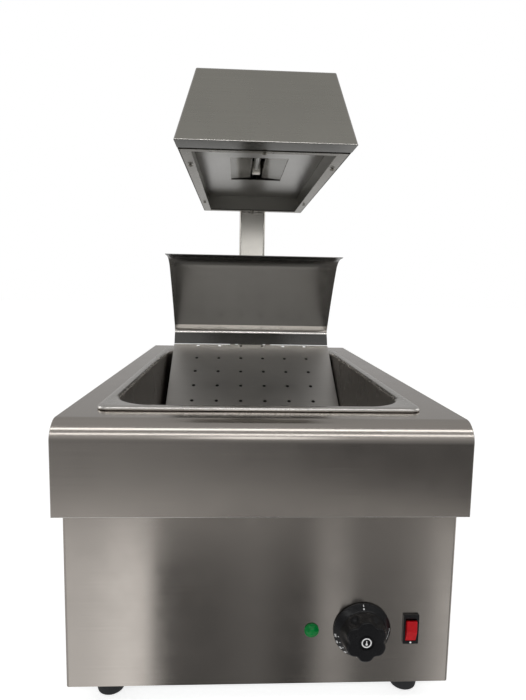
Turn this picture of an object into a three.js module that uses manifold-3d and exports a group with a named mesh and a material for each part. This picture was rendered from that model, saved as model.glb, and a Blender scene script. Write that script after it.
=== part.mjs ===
// Countertop warmer for chips and fries: a steel cabinet with a lift-out food pan, a ramp with a curved
// splash guard in the pan, and a heat lamp in a tapered hood that a rear post holds over it.
// Millimetres, +Z up, front towards -Y. The origin is on the table, at the middle of the whole outline.
import * as THREE from "three";
import { mergeVertices } from "three/addons/utils/BufferGeometryUtils.js";
import Module from "manifold-3d";

const wasm = await Module();
wasm.setup();

// ---- Driving dimensions ----
const gap = 0.3; // between pieces that rest against each other
const through = 2; // of a cutter past each face of the sheet that it cuts

const counterWidth = 390;
const counterDepth = 640;
const counterTop = 290; // above the table
const counterSheet = 1.5;
const apronHeight = 90;
const apronReturn = 11;
const bullnoseRadius = 20;
const rearBendRadius = 3;
const skirtHeight = 28; // folded edge along the sides and the back
const endCapDepth = 15; // closes the end of the apron beside the cabinet

const bodyWidth = 380;
const bodySheet = 1.2;
const bodySetback = 16.6; // of the cabinet front behind the apron
const bodyRear = 300; // back of the cabinet, from the middle of the countertop
const bodyCornerRadius = 3;
const bodyReturn = 14; // folded edges that the rear panel is screwed to

const footHeight = 20;
const footRadius = 15;
const footSideInset = 38;
const footEndInset = 25;

const panWidth = 325; // standard 1/1 food pan
const panLength = 530;
const panDepth = 150;
const panFrontMargin = 43.4; // from the apron face to the flange
const panSideShift = -2.5; // the pan lies loose in its cut-out
const cutOutWidth = 312;
const cutOutLength = 516;
const cutOutRadius = 46;

const insertWidth = 290; // ramp and splash guard at their widest
const insertTaper = 0.1; // ramp width lost for each millimetre down
const insertSheet = 1.2;

const hoodWidth = 188; // outside, at the bottom
const hoodTopWidth = 147;
const hoodHeight = 80;
const hoodSheet = 1.2;
const hoodFrontMargin = 87; // from the apron face to the front bottom edge
const hoodFrontLean = 28; // run of the leaning front face
const hoodLength = 509;
const hoodUnderside = counterTop + 268;
const hoodReturn = 34; // bottom strip in front of the screwed frame
const frameMember = 12;
const frameThickness = 1.2;
const ceilingRise = 29; // of the ceiling plate above the underside

const postWidth = 50;
const postDepth = 30;
const postWall = 2;
const postFrontMargin = 603.5; // from the apron face to the front of the post
const postTop = hoodUnderside + 66;
const hoodBoltRise = 52; // middle of the bolts between the hood and the post, above the hood's underside
const baseThickness = 3;
const boltHoleRadius = 3.2;
const leadHoleRadius = 5;

const controlHeight = 77; // of the three controls above the table
const indicatorX = 50;
const dialX = 100;
const switchX = 149;
const knobReach = 21.2; // of the knob in front of the cabinet

const counterFront = -counterDepth / 2;
const bodyFront = counterFront + bodySetback;
const bodyBottom = footHeight;
const bodyTop = counterTop - counterSheet - 0.8; // clear of the start of the bullnose
const panFront = counterFront + panFrontMargin;
const panMiddle = panFront + panLength / 2;
const hoodFront = counterFront + hoodFrontMargin;
const hoodRear = hoodFront + hoodLength;
const postFront = counterFront + postFrontMargin;
const knobOvershoot = knobReach - bodySetback; // the knob stands this far in front of the apron

// ---- Finishes ----
const steel = new THREE.MeshStandardMaterial({ color: 0x8f8a82, metalness: 1, roughness: 0.35 });
const polished = new THREE.MeshStandardMaterial({ color: 0xb9bab8, metalness: 1, roughness: 0.12 });
const galvanised = new THREE.MeshStandardMaterial({ color: 0x9aa0a2, metalness: 1, roughness: 0.5 });
const zinc = new THREE.MeshStandardMaterial({ color: 0xa6a49c, metalness: 1, roughness: 0.4 });
const rubber = new THREE.MeshStandardMaterial({ color: 0x1c1d20, roughness: 0.85 });
const blackPlastic = new THREE.MeshStandardMaterial({ color: 0x151516, roughness: 0.35 });
const whitePrint = new THREE.MeshStandardMaterial({ color: 0xe8e8e6, roughness: 0.5 });
const redLens = new THREE.MeshStandardMaterial({ color: 0xb00c14, roughness: 0.25 });
const greenLens = new THREE.MeshStandardMaterial({ color: 0x0b7d2c, roughness: 0.2 });
const ceramic = new THREE.MeshStandardMaterial({ color: 0xe6e1d2, roughness: 0.6 });
const quartz = new THREE.MeshStandardMaterial({ color: 0xdfe4e6, roughness: 0.05, opacity: 0.5 });
quartz.transparent = true;
const elementSheath = new THREE.MeshStandardMaterial({ color: 0x55534d, metalness: 1, roughness: 0.5 });
const brass = new THREE.MeshStandardMaterial({ color: 0xb8974f, metalness: 1, roughness: 0.3 });

// ---- Solids ----
// A closed geometry as a solid, ready to be joined or cut.
function solidOf(geometry) {
  const bare = geometry.clone();
  bare.deleteAttribute("normal");
  bare.deleteAttribute("uv");
  const merged = mergeVertices(bare, 1e-3);
  const triVerts = new Uint32Array(merged.index.array);
  const vertProperties = merged.attributes.position.array;
  return new wasm.Manifold(new wasm.Mesh({ numProp: 3, vertProperties, triVerts }));
}

// A solid as a geometry again.
function geometryOf(solid) {
  const mesh = solid.getMesh();
  const geometry = new THREE.BufferGeometry();
  geometry.setAttribute("position", new THREE.BufferAttribute(mesh.vertProperties, 3));
  geometry.setIndex(new THREE.BufferAttribute(mesh.triVerts, 1));
  geometry.computeVertexNormals();
  return geometry;
}

// The first geometry with the others joined to it.
function joined(first, ...others) {
  return geometryOf(others.reduce((whole, next) => whole.add(solidOf(next)), solidOf(first)));
}

// A geometry with holes in the shape of the cutters.
function cut(geometry, ...cutters) {
  return geometryOf(cutters.reduce((whole, next) => whole.subtract(solidOf(next)), solidOf(geometry)));
}

// A block between two corners.
function block(low, high) {
  const size = high.map((value, axis) => value - low[axis]);
  const middle = high.map((value, axis) => (value + low[axis]) / 2);
  return new THREE.BoxGeometry(...size).translate(...middle);
}

// A round bar from a point, along an axis ("y" or "z").
function bar(radius, length, axis, [x, y, z], segments = 24) {
  const geometry = new THREE.CylinderGeometry(radius, radius, length, segments);
  geometry.translate(0, length / 2, 0);
  if (axis === "z") geometry.rotateX(Math.PI / 2);
  return geometry.translate(x, y, z);
}

// A turned piece: the profile's points are [radius, distance along the axis].
function turned(profile, axis, [x, y, z], segments = 24) {
  const geometry = new THREE.LatheGeometry(
    profile.map(([radius, along]) => new THREE.Vector2(radius, along)),
    segments,
  );
  if (axis === "z") geometry.rotateX(Math.PI / 2);
  if (axis === "-y") geometry.rotateX(Math.PI);
  return geometry.translate(x, y, z);
}

// A flat shape in the plane of Y and Z, made thick along X from a start to an end.
function sideways(outline, startX, endX) {
  const shape = outline instanceof THREE.Shape ? outline : new THREE.Shape(outline);
  const geometry = new THREE.ExtrudeGeometry(shape, { depth: endX - startX, bevelEnabled: false });
  const turn = new THREE.Matrix4().makeBasis(
    new THREE.Vector3(0, 1, 0),
    new THREE.Vector3(0, 0, 1),
    new THREE.Vector3(1, 0, 0),
  );
  return geometry.applyMatrix4(turn).translate(startX, 0, 0);
}

// A flat shape in the plane of X and Y, made thick upwards from a start to an end.
function upright(outline, startZ, endZ) {
  const shape = outline instanceof THREE.Shape ? outline : new THREE.Shape(outline);
  const geometry = new THREE.ExtrudeGeometry(shape, { depth: endZ - startZ, bevelEnabled: false });
  return geometry.translate(0, 0, startZ);
}

// A flat shape in the plane of X and Z, made thick towards the front from a start.
function frontwards(outline, startY, length) {
  const shape = outline instanceof THREE.Shape ? outline : new THREE.Shape(outline);
  const geometry = new THREE.ExtrudeGeometry(shape, { depth: length, bevelEnabled: false });
  return geometry.rotateX(Math.PI / 2).translate(0, startY, 0);
}

// The points of an arc about a centre, in degrees from the first plane axis.
function arc([centreU, centreV], radius, fromDegrees, toDegrees, steps) {
  return Array.from({ length: steps + 1 }, (_, step) => {
    const angle = THREE.MathUtils.degToRad(fromDegrees + ((toDegrees - fromDegrees) * step) / steps);
    return new THREE.Vector2(centreU + radius * Math.cos(angle), centreV + radius * Math.sin(angle));
  });
}

// The outline of a bent sheet: a path, and the same path moved sideways to its right by the thickness.
function sheetOutline(path, thickness) {
  const points = path.map((point) => (point.isVector2 ? point : new THREE.Vector2(...point)));
  const directions = points
    .slice(1)
    .map((point, index) => point.clone().sub(points[index]).normalize());
  const moved = points.map((point, index) => {
    const before = directions[Math.max(index - 1, 0)];
    const after = directions[Math.min(index, directions.length - 1)];
    const mitre = before.clone().add(after).normalize();
    const reach = thickness / Math.max(mitre.dot(before), 0.5);
    return new THREE.Vector2(point.x + mitre.y * reach, point.y - mitre.x * reach);
  });
  return [...points, ...moved.reverse()];
}

// The corners of a rounded rectangle, anticlockwise from above.
function roundedRectangle(width, length, radius, steps = 6) {
  const reachX = width / 2 - radius;
  const reachY = length / 2 - radius;
  const corners = [
    [reachX, -reachY, -90],
    [reachX, reachY, 0],
    [-reachX, reachY, 90],
    [-reachX, -reachY, 180],
  ];
  return corners.flatMap(([x, y, start]) => arc([x, y], radius, start, start + 90, steps));
}

// A closed skin through level rings of equally many points, with a flat cap on the first and the last.
// The first cap faces up, so a plain solid runs from its top ring down.
function loft(rings) {
  const count = rings[0].length;
  const positions = rings.flat().flatMap((point) => [point.x, point.y, point.z]);
  const faces = [];
  for (let i = 1; i < count - 1; i++) {
    faces.push(0, i, i + 1);
    const last = (rings.length - 1) * count;
    faces.push(last, last + i + 1, last + i);
  }
  for (let ring = 0; ring < rings.length - 1; ring++) {
    for (let i = 0; i < count; i++) {
      const here = ring * count + i;
      const next = ring * count + ((i + 1) % count);
      faces.push(next, here, here + count, next, here + count, next + count);
    }
  }
  const geometry = new THREE.BufferGeometry();
  geometry.setAttribute("position", new THREE.Float32BufferAttribute(positions, 3));
  geometry.setIndex(faces);
  geometry.computeVertexNormals();
  return geometry;
}

// ---- Assembly ----
const warmer = new THREE.Group();
warmer.position.y = knobOvershoot / 2;

function place(name, geometry, material) {
  const mesh = new THREE.Mesh(geometry, material);
  mesh.name = name;
  warmer.add(mesh);
}

// A pan-head screw whose shank points along an axis, from the face that its head bears on.
function screw(name, headRadius, headHeight, shankRadius, shankLength, material, turn, [x, y, z]) {
  const profile = [
    [0, -shankLength],
    [shankRadius, -shankLength],
    [shankRadius, gap],
    [headRadius, gap],
    [headRadius, gap + headHeight * 0.5],
    [headRadius * 0.6, gap + headHeight],
    [0, gap + headHeight],
  ];
  const geometry = new THREE.LatheGeometry(
    profile.map(([radius, along]) => new THREE.Vector2(radius, along)),
    12,
  );
  turn(geometry);
  place(name, geometry.translate(x, y, z), material);
}
const headUp = (geometry) => geometry.rotateX(Math.PI / 2);
const headDown = (geometry) => geometry.rotateX(-Math.PI / 2);
const headBack = (geometry) => geometry;
const headFront = (geometry) => geometry.rotateX(Math.PI);

// Cabinet: one sheet folded round the front and the sides, with returns at the back.
const sideX = bodyWidth / 2;
const wrapPath = [
  new THREE.Vector2(sideX - bodyReturn, bodyRear),
  new THREE.Vector2(sideX, bodyRear),
  ...arc([sideX - bodyCornerRadius, bodyFront + bodyCornerRadius], bodyCornerRadius, 0, -90, 3),
  ...arc([-sideX + bodyCornerRadius, bodyFront + bodyCornerRadius], bodyCornerRadius, -90, -180, 3),
  new THREE.Vector2(-sideX, bodyRear),
  new THREE.Vector2(-sideX + bodyReturn, bodyRear),
];
const holeStart = bodyFront - through;
const holeLength = bodySheet + 2 * through;
const indicatorHole = bar(5.2, holeLength, "y", [indicatorX, holeStart, controlHeight], 16);
const shaftHole = bar(6, holeLength, "y", [dialX, holeStart, controlHeight], 16);
const switchHalf = [6.9, 14]; // of the hole, across and up
const switchHole = block(
  [switchX - switchHalf[0], holeStart, controlHeight - switchHalf[1]],
  [switchX + switchHalf[0], holeStart + holeLength, controlHeight + switchHalf[1]],
);
const wrap = upright(sheetOutline(wrapPath, bodySheet), bodyBottom, bodyTop);
place("body_wrap", cut(wrap, indicatorHole, shaftHole, switchHole), steel);

// Bottom plate: a shallow tray with rows of vent slots.
const plateClearance = 0.8;
const plateX = sideX - bodySheet - plateClearance;
const plateFront = bodyFront + bodySheet + plateClearance;
const plateRear = bodyRear - bodySheet - plateClearance;
const plateLip = 12;
const plateOuter = block([-plateX, plateFront, bodyBottom], [plateX, plateRear, bodyBottom + plateLip]);
const plateInner = block(
  [-plateX + bodySheet, plateFront + bodySheet, bodyBottom + bodySheet],
  [plateX - bodySheet, plateRear - bodySheet, bodyBottom + plateLip + 1],
);
const ventPitch = [36, 180]; // across and along
const ventHalf = [3, 40];
const ventSlots = [];
for (let column = -3; column <= 3; column++) {
  for (const row of [-0.5, 0.5]) {
    const [x, y] = [column * ventPitch[0], row * ventPitch[1]];
    ventSlots.push(
      block(
        [x - ventHalf[0], y - ventHalf[1], bodyBottom - through],
        [x + ventHalf[0], y + ventHalf[1], bodyBottom + bodySheet + through],
      ),
    );
  }
}
const footPlaces = [-1, 1].flatMap((end) => [-1, 1].map((side) => [side, end]));
const footX = sideX - footSideInset;
const footY = { "-1": bodyFront + footEndInset, 1: bodyRear - footEndInset };
const footHoles = footPlaces.map(([side, end]) => {
  return bar(boltHoleRadius, 2 * through, "z", [side * footX, footY[end], bodyBottom - 1], 12);
});
place("bottom_plate", cut(plateOuter, plateInner, ...ventSlots, ...footHoles), galvanised);

// Feet: rubber, each held by a screw from inside the cabinet.
const footBore = 2.9; // radius of the foot's hole for its screw
const footBoreFloor = 8;
const footProfile = [
  [0, 0],
  [footRadius - 3.5, 0],
  [footRadius - 2, 1.5],
  [footRadius, footHeight - 3],
  [footRadius, footHeight - gap],
  [footBore, footHeight - gap],
  [footBore, footBoreFloor],
  [0, footBoreFloor],
];
for (const [side, end] of footPlaces) {
  const name = (end < 0 ? "front" : "rear") + (side < 0 ? "_left" : "_right");
  const at = [side * footX, footY[end]];
  place("foot_" + name, turned(footProfile, "z", [...at, 0], 20), rubber);
  screw("foot_screw_" + name, 5, 3, 2.4, 11, zinc, headUp, [...at, bodyBottom + bodySheet]);
}

// Rear panel: screwed to the returns, with vent slots and the cord outlet.
const panelX = sideX - 2;
const panelFront = bodyRear + gap;
const panelRear = panelFront + bodySheet;
const outlet = [-110, 62]; // across and up
const panelScrewX = sideX - bodyReturn / 2;
const panelScrewZ = [bodyBottom + 22, bodyTop - 42];
const glandRadius = 7.8; // of the gland's neck in the outlet
const punchStart = panelFront - through;
const punchLength = bodySheet + 2 * through;
const panelCutters = [bar(glandRadius + 0.4, punchLength, "y", [outlet[0], punchStart, outlet[1]], 20)];
const panelVentHalf = 60;
const panelVentHeight = 5;
const lowestPanelVent = 120;
for (let row = 0; row < 7; row++) {
  const z = lowestPanelVent + row * 14;
  panelCutters.push(
    block([-panelVentHalf, punchStart, z], [panelVentHalf, panelRear + through, z + panelVentHeight]),
  );
}
const panelScrews = panelScrewZ.flatMap((z) => [-1, 1].map((side) => [side * panelScrewX, z]));
for (const [x, z] of panelScrews) {
  panelCutters.push(bar(2.3, punchLength, "y", [x, punchStart, z], 12));
}
const panelPlate = block([-panelX, panelFront, bodyBottom + 1], [panelX, panelRear, bodyTop - 1]);
place("rear_panel", cut(panelPlate, ...panelCutters), steel);
panelScrews.forEach(([x, z], index) => {
  screw("rear_panel_screw_" + (index + 1), 3.8, 2.4, 1.8, 1.3, zinc, headBack, [x, panelRear, z]);
});

// Cable gland in the rear panel's outlet.
const cordRadius = 4;
const glandInside = -8;
const glandOutside = 16;
const glandProfile = [
  [cordRadius, glandInside],
  [glandRadius, glandInside],
  [glandRadius, gap],
  [11, gap],
  [11, 6],
  [9.5, 8],
  [9.5, 13],
  [7, glandOutside],
  [cordRadius, glandOutside],
  [cordRadius, glandInside],
];
place("cable_gland", turned(glandProfile, "y", [outlet[0], panelRear, outlet[1]], 20), blackPlastic);

// Countertop: one sheet with a bullnose front, an apron, side skirts with end caps, and a pan cut-out.
const apronBottom = counterTop - apronHeight;
const skirtBottom = counterTop - skirtHeight;
const counterRear = counterDepth / 2;
const noseMiddle = [counterFront + bullnoseRadius, counterTop - bullnoseRadius];
const rearMiddle = [counterRear - rearBendRadius, counterTop - rearBendRadius];
const counterPath = [
  new THREE.Vector2(counterFront + apronReturn, apronBottom),
  new THREE.Vector2(counterFront, apronBottom),
  ...arc(noseMiddle, bullnoseRadius, 180, 90, 8),
  ...arc(rearMiddle, rearBendRadius, 90, 0, 3),
  new THREE.Vector2(counterRear, skirtBottom),
];
const counterX = counterWidth / 2;
const weldDepth = 0.7; // of the skirts' edges inside the sheet
const skirtX = counterX - 0.2;
const skirtOutline = [
  new THREE.Vector2(counterFront + weldDepth, apronBottom + weldDepth),
  ...arc(noseMiddle, bullnoseRadius - weldDepth, 180, 90, 5),
  ...arc(rearMiddle, rearBendRadius - weldDepth, 90, 0, 1),
  new THREE.Vector2(counterRear - weldDepth, skirtBottom + weldDepth),
  new THREE.Vector2(counterFront + endCapDepth, skirtBottom + weldDepth),
  new THREE.Vector2(counterFront + endCapDepth, apronBottom + weldDepth),
];
const cutOut = upright(
  roundedRectangle(cutOutWidth, cutOutLength, cutOutRadius, 5),
  counterTop - counterSheet - through,
  counterTop + through,
);
cutOut.translate(0, panMiddle, 0);
const postMiddle = postFront + postDepth / 2;
const baseBoltPlaces = [-1, 1].flatMap((side) => {
  return [-1, 1].map((end) => [side * 36, postMiddle + end * 9]);
});
const baseHoleStart = counterTop - counterSheet - through;
const baseHoleLength = counterSheet + baseThickness + 2 * through + gap;
const baseHoles = baseBoltPlaces.map(([x, y]) => {
  return bar(boltHoleRadius, baseHoleLength, "z", [x, y, baseHoleStart], 12);
});
const leadY = postFront + 9; // the lamp's lead runs up the post here
const leadHole = bar(leadHoleRadius, baseHoleLength, "z", [0, leadY, baseHoleStart], 12);
place(
  "countertop",
  cut(
    joined(
      sideways(sheetOutline(counterPath, counterSheet), -counterX, counterX),
      sideways(skirtOutline, -skirtX, -skirtX + counterSheet),
      sideways(skirtOutline, skirtX - counterSheet, skirtX),
    ),
    cutOut,
    ...baseHoles,
    leadHole,
  ),
  steel,
);

// Food pan: pressed from one sheet, its flange resting on the countertop round the cut-out. Each ring is how
// far inside the flange's outline it lies, its height above the countertop and its corner radius.
const panInside = [
  [34.8, 5 - panDepth, 30],
  [25.5, 7 - panDepth, 38],
  [21.4, 14 - panDepth, 43],
  [20.6, 22 - panDepth, 44],
  [13, -3, 52],
  [11.6, 2.2, 53],
  [8.6, 4.5, 48],
  [3, 4.7, 15],
  [0.6, 3.6, 13],
  [0, gap, 12.5],
];
const panOutside = [
  [1, gap, 12],
  [1.5, 2.9, 12],
  [3.4, 3.7, 14.5],
  [8.2, 3.5, 49],
  [10.6, 1.4, 53.5],
  [12, -3.4, 53],
  [19.6, 22 - panDepth, 45],
  [20.4, 13.4 - panDepth, 44],
  [24.7, 6 - panDepth, 39],
  [34.6, 4 - panDepth, 31],
];
const panRings = [...panInside, ...panOutside].map(([inset, height, radius]) =>
  roundedRectangle(panWidth - 2 * inset, panLength - 2 * inset, radius).map(
    (point) => new THREE.Vector3(point.x + panSideShift, point.y + panMiddle, counterTop + height),
  ),
);
place("food_pan", loft(panRings), steel);

// Ramp: a sheet over the pan's floor that climbs to the back, narrower towards its foot.
const rampTop = new THREE.Vector2(panFront + 496, counterTop + 14);
const rampSlope = THREE.MathUtils.degToRad(28.3);
const rampFloor = counterTop + 15.5 - panDepth;
const rampRun = (rampTop.y - rampFloor) / Math.tan(rampSlope);
const rampFoot = new THREE.Vector2(rampTop.x - rampRun, rampFloor);
const rampFront = panFront + 62;
const rampLip = 9; // turned down at the front, to stand on the pan's floor
const rampPath = [
  new THREE.Vector2(rampFront, rampFloor - rampLip),
  new THREE.Vector2(rampFront, rampFloor),
  rampFoot,
  rampTop,
];
const rampHalf = insertWidth / 2;
const rampFootHalf = rampHalf - (insertTaper * (rampTop.y - rampFloor)) / 2;
const trimReach = 20; // of the trimming cutters past the sheet
const trimHalf = rampHalf + trimReach;
const trimRear = rampTop.x + 5;
const rampTrim = [-1, 1].map((side) => {
  const outline = [
    new THREE.Vector2(side * rampHalf, trimRear),
    new THREE.Vector2(side * rampHalf, rampTop.x),
    new THREE.Vector2(side * rampFootHalf, rampFoot.x),
    new THREE.Vector2(side * rampFootHalf, panFront),
    new THREE.Vector2(side * trimHalf, panFront),
    new THREE.Vector2(side * trimHalf, trimRear),
  ];
  return upright(outline, rampFloor - trimReach, rampTop.y + trimReach);
});
const lipHalf = 124; // the front lip is narrower than the pan's rounded bottom edges
const lipTrim = [-1, 1].map((side) => {
  const [left, right] = [side * lipHalf, side * trimHalf].sort((a, b) => a - b);
  return block(
    [left, panFront, rampFloor - trimReach],
    [right, rampFoot.x - trimReach, rampFloor - insertSheet - 0.5],
  );
});
const rampSheet = sideways(sheetOutline(rampPath, insertSheet), -rampHalf, rampHalf);
place("ramp_insert", cut(rampSheet, ...rampTrim, ...lipTrim), steel);

// Splash guard: welded to the head of the ramp. It rises to a fold, leans forward and ends in a lip.
const guardFoot = new THREE.Vector2(panFront + 496.6, counterTop + 15);
const foldPoint = new THREE.Vector2(panFront + 508, counterTop + 40);
const leanTop = new THREE.Vector2(panFront + 424, counterTop + 158);
const lipTip = new THREE.Vector2(panFront + 368, counterTop + 172.5);
const guardCurve = new THREE.CurvePath();
const foldStart = foldPoint.clone().lerp(guardFoot, 0.3);
const foldEnd = foldPoint.clone().lerp(leanTop, 0.08);
const bow = foldPoint.clone().lerp(leanTop, 0.55).add(new THREE.Vector2(5, 3));
const lipBend = new THREE.Vector2(panFront + 409, counterTop + 170.5);
const lipStart = lipBend.clone().lerp(lipTip, 0.5);
guardCurve.add(new THREE.LineCurve(guardFoot, foldStart));
guardCurve.add(new THREE.QuadraticBezierCurve(foldStart, foldPoint, foldEnd));
guardCurve.add(new THREE.QuadraticBezierCurve(foldEnd, bow, leanTop));
guardCurve.add(new THREE.QuadraticBezierCurve(leanTop, lipBend, lipStart));
guardCurve.add(new THREE.LineCurve(lipStart, lipTip));
const guardPath = guardCurve.curves.flatMap((curve, index) =>
  curve.getPoints(curve.isLineCurve ? 1 : 6).slice(index ? 1 : 0),
);
place("splash_guard", sideways(sheetOutline(guardPath, insertSheet), -rampHalf, rampHalf), steel);

// Heat tray and element under the pan.
const trayTop = counterTop - panDepth - 12;
const trayBottom = trayTop - 40;
const trayX = 150;
const trayHalf = 245;
const trayFront = panMiddle - trayHalf;
const trayRear = panMiddle + trayHalf;
const trayOuter = block([-trayX, trayFront, trayBottom], [trayX, trayRear, trayTop]);
const trayInner = block(
  [-trayX + bodySheet, trayFront + bodySheet, trayBottom + bodySheet],
  [trayX - bodySheet, trayRear - bodySheet, trayTop + 1],
);
place("heat_tray", cut(trayOuter, trayInner), galvanised);
const plateFace = bodyBottom + bodySheet + gap; // where pieces stand on the bottom plate
const bracketX = trayX + bodySheet + gap;
const bracketLength = 360;
for (const side of [-1, 1]) {
  const path = [
    [side * (plateX - bodySheet - gap - 1), plateFace],
    [side * bracketX, plateFace],
    [side * bracketX, trayTop - 6],
  ];
  const outline = sheetOutline(path, side * bodySheet);
  const bracket = frontwards(outline, panMiddle + bracketLength / 2, bracketLength);
  place("tray_bracket_" + (side < 0 ? "left" : "right"), bracket, galvanised);
}

const elementZ = trayBottom + 20;
const elementRadius = 4;
const elementRunHalf = 180; // half the length of the straight runs
const elementPitch = 60;
const elementRuns = [-1.5, -0.5, 0.5, 1.5].map((step) => step * elementPitch);
const elementCurve = new THREE.CurvePath();
const elementPoint = (x, y) => new THREE.Vector3(x, y, elementZ);
elementRuns.forEach((x, index) => {
  const up = index % 2 === 0 ? 1 : -1;
  const startY = panMiddle - up * elementRunHalf;
  const endY = panMiddle + up * elementRunHalf;
  elementCurve.add(new THREE.LineCurve3(elementPoint(x, startY), elementPoint(x, endY)));
  if (index < elementRuns.length - 1) {
    const nextX = elementRuns[index + 1];
    const handle = (elementPitch / 2) * 1.333; // makes the bend very nearly round
    elementCurve.add(
      new THREE.CubicBezierCurve3(
        elementPoint(x, endY),
        elementPoint(x, endY + up * handle),
        elementPoint(nextX, endY + up * handle),
        elementPoint(nextX, endY),
      ),
    );
  }
});
const elementSection = new THREE.Shape(arc([0, 0], elementRadius, 0, 315, 7));
const element = new THREE.ExtrudeGeometry(elementSection, { steps: 64, extrudePath: elementCurve });
place("heating_element", element, elementSheath);

// Thermostat: body behind the front, shaft through it, sensing bulb beside the element.
const behindFront = bodyFront + bodySheet + gap;
const caseHalf = [17, 20]; // across and up
const earHalf = [20, 11];
const thermostatCase = block(
  [dialX - caseHalf[0], behindFront + 2, controlHeight - caseHalf[1]],
  [dialX + caseHalf[0], behindFront + 36, controlHeight + caseHalf[1]],
);
const thermostatEars = block(
  [dialX - earHalf[0], behindFront, controlHeight - earHalf[1]],
  [dialX + earHalf[0], behindFront + 2.5, controlHeight + earHalf[1]],
);
place("thermostat_body", joined(thermostatCase, thermostatEars), ceramic);
const bulbRadius = 3;
const bulbLength = 90;
place("sensor_bulb", bar(bulbRadius, bulbLength, "y", [20, panMiddle - 120, trayBottom + 8], 12), brass);

// Knob: numbered skirt and lobed grip in one moulding, a cap in its face and the shaft behind it.
const knobFace = bodyFront - knobReach;
const dialRadius = 28.5;
const dialClearance = 0.6; // from the cabinet
const dialThickness = 9;
const dialProfile = [
  [0, dialClearance],
  [dialRadius, dialClearance],
  [dialRadius, 2.2],
  [24.5, 6.5],
  [23, 7],
  [22.8, dialThickness],
  [0, dialThickness],
];
const lobes = 6;
const lobeRadius = 20.6;
const fluteDepth = 2.4;
const gripSteps = 48;
const gripOutline = Array.from({ length: gripSteps }, (_, step) => {
  const angle = (step / gripSteps) * 2 * Math.PI;
  const flute = 0.5 - 0.5 * Math.cos(lobes * angle);
  const radius = lobeRadius - fluteDepth * flute ** 2;
  return new THREE.Vector2(dialX + radius * Math.sin(angle), controlHeight + radius * Math.cos(angle));
});
const capRadius = 6.6;
const capThickness = 1;
const shaftRadius = 3;
const shaftReach = 14; // of the knob's bore in front of the cabinet
const knobMoulding = joined(
  turned(dialProfile, "-y", [dialX, bodyFront, controlHeight], 40),
  frontwards(gripOutline, bodyFront - dialThickness + 1, knobReach - dialThickness + 1),
);
const knobBore = bar(shaftRadius + gap, shaftReach, "y", [dialX, bodyFront - shaftReach, controlHeight], 16);
const recessDepth = capThickness + gap;
const capRecess = bar(
  capRadius + gap,
  recessDepth + through,
  "y",
  [dialX, knobFace - through, controlHeight],
  24,
);
place("control_knob", cut(knobMoulding, knobBore, capRecess), blackPlastic);
place("knob_cap", bar(capRadius, capThickness, "y", [dialX, knobFace, controlHeight], 24), whitePrint);
const shaftEnd = bodyFront - shaftReach + gap;
const shaftLength = behindFront - gap - shaftEnd;
place("thermostat_shaft", bar(shaftRadius, shaftLength, "y", [dialX, shaftEnd, controlHeight], 16), zinc);

// Indicator: a faceted lens over a lamp body that fills the hole.
const lensRadius = 7.2;
const lensSides = 6;
const lensProfile = [
  [0, gap],
  [lensRadius, gap],
  [lensRadius, 1.2],
  [5.4, 4],
  [0, 4.8],
];
const indicatorPlace = [indicatorX, bodyFront, controlHeight];
place("indicator_lens", turned(lensProfile, "-y", indicatorPlace, lensSides), greenLens);
place("indicator_body", bar(4.8, 22, "y", indicatorPlace, 16), blackPlastic);

// Rocker switch: a housing with a bezel, and a rocker that turns on a cross pin. Its lower end is pressed in.
const bezelHalf = [7.9, 16];
const bezelOut = 2.2;
const switchWell = [5.5, 11.6];
const housing = joined(
  block(
    [switchX - bezelHalf[0], bodyFront - bezelOut, controlHeight - bezelHalf[1]],
    [switchX + bezelHalf[0], bodyFront - gap, controlHeight + bezelHalf[1]],
  ),
  block(
    [switchX - switchHalf[0] + gap, bodyFront - 1, controlHeight - switchHalf[1] + gap],
    [switchX + switchHalf[0] - gap, bodyFront + 18, controlHeight + switchHalf[1] - gap],
  ),
);
const well = block(
  [switchX - switchWell[0], bodyFront - 5, controlHeight - switchWell[1]],
  [switchX + switchWell[0], bodyFront + 9, controlHeight + switchWell[1]],
);
place("switch_housing", cut(housing, well), blackPlastic);
const rockerTilt = THREE.MathUtils.degToRad(8);
const rockerOut = 1; // of the pivot in front of the cabinet
const rockerOutline = [
  [4, -4],
  [-0.5, -10.6],
  [-2.4, -11],
  [-4.8, 0],
  [-2.4, 11],
  [-0.5, 10.6],
  [4, 4],
].map(([y, z]) => new THREE.Vector2(y, z).rotateAround(new THREE.Vector2(), rockerTilt));
const rockerHalf = 5.1;
const rocker = sideways(rockerOutline, switchX - rockerHalf, switchX + rockerHalf);
rocker.translate(0, bodyFront - rockerOut, controlHeight);
place("switch_rocker", rocker, redLens);

// Terminal block on the bottom plate, in front of the cord outlet.
const terminals = [60, 22, 18]; // across, along and up
const terminalsRear = 257;
const terminalBlock = block(
  [outlet[0] - terminals[0] / 2, terminalsRear - terminals[1], plateFace],
  [outlet[0] + terminals[0] / 2, terminalsRear, plateFace + terminals[2]],
);
place("terminal_block", terminalBlock, whitePrint);

// Post: a rectangular tube on a bolted base, with a cap on its top.
const baseHalf = [45, 18];
const baseTop = counterTop + gap + baseThickness;
const basePlate = block(
  [-baseHalf[0], postMiddle - baseHalf[1], counterTop + gap],
  [baseHalf[0], postMiddle + baseHalf[1], baseTop],
);
place("post_base", cut(basePlate, ...baseHoles, leadHole), steel);
baseBoltPlaces.forEach(([x, y], index) => {
  screw("post_bolt_" + (index + 1), 5.5, 4, 2.9, 7, zinc, headUp, [x, y, baseTop]);
});
const leadZ = hoodUnderside + hoodBoltRise;
const hoodBoltPlaces = [-1, 1].flatMap((side) => {
  return [-1, 1].map((end) => [side * 15, leadZ + end * 8]);
});
const rearHoleStart = hoodRear - 5;
const rearHoles = [
  bar(leadHoleRadius, 18, "y", [0, rearHoleStart, leadZ], 12),
  ...hoodBoltPlaces.map(([x, z]) => bar(boltHoleRadius, 18, "y", [x, rearHoleStart, z], 12)),
];
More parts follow.
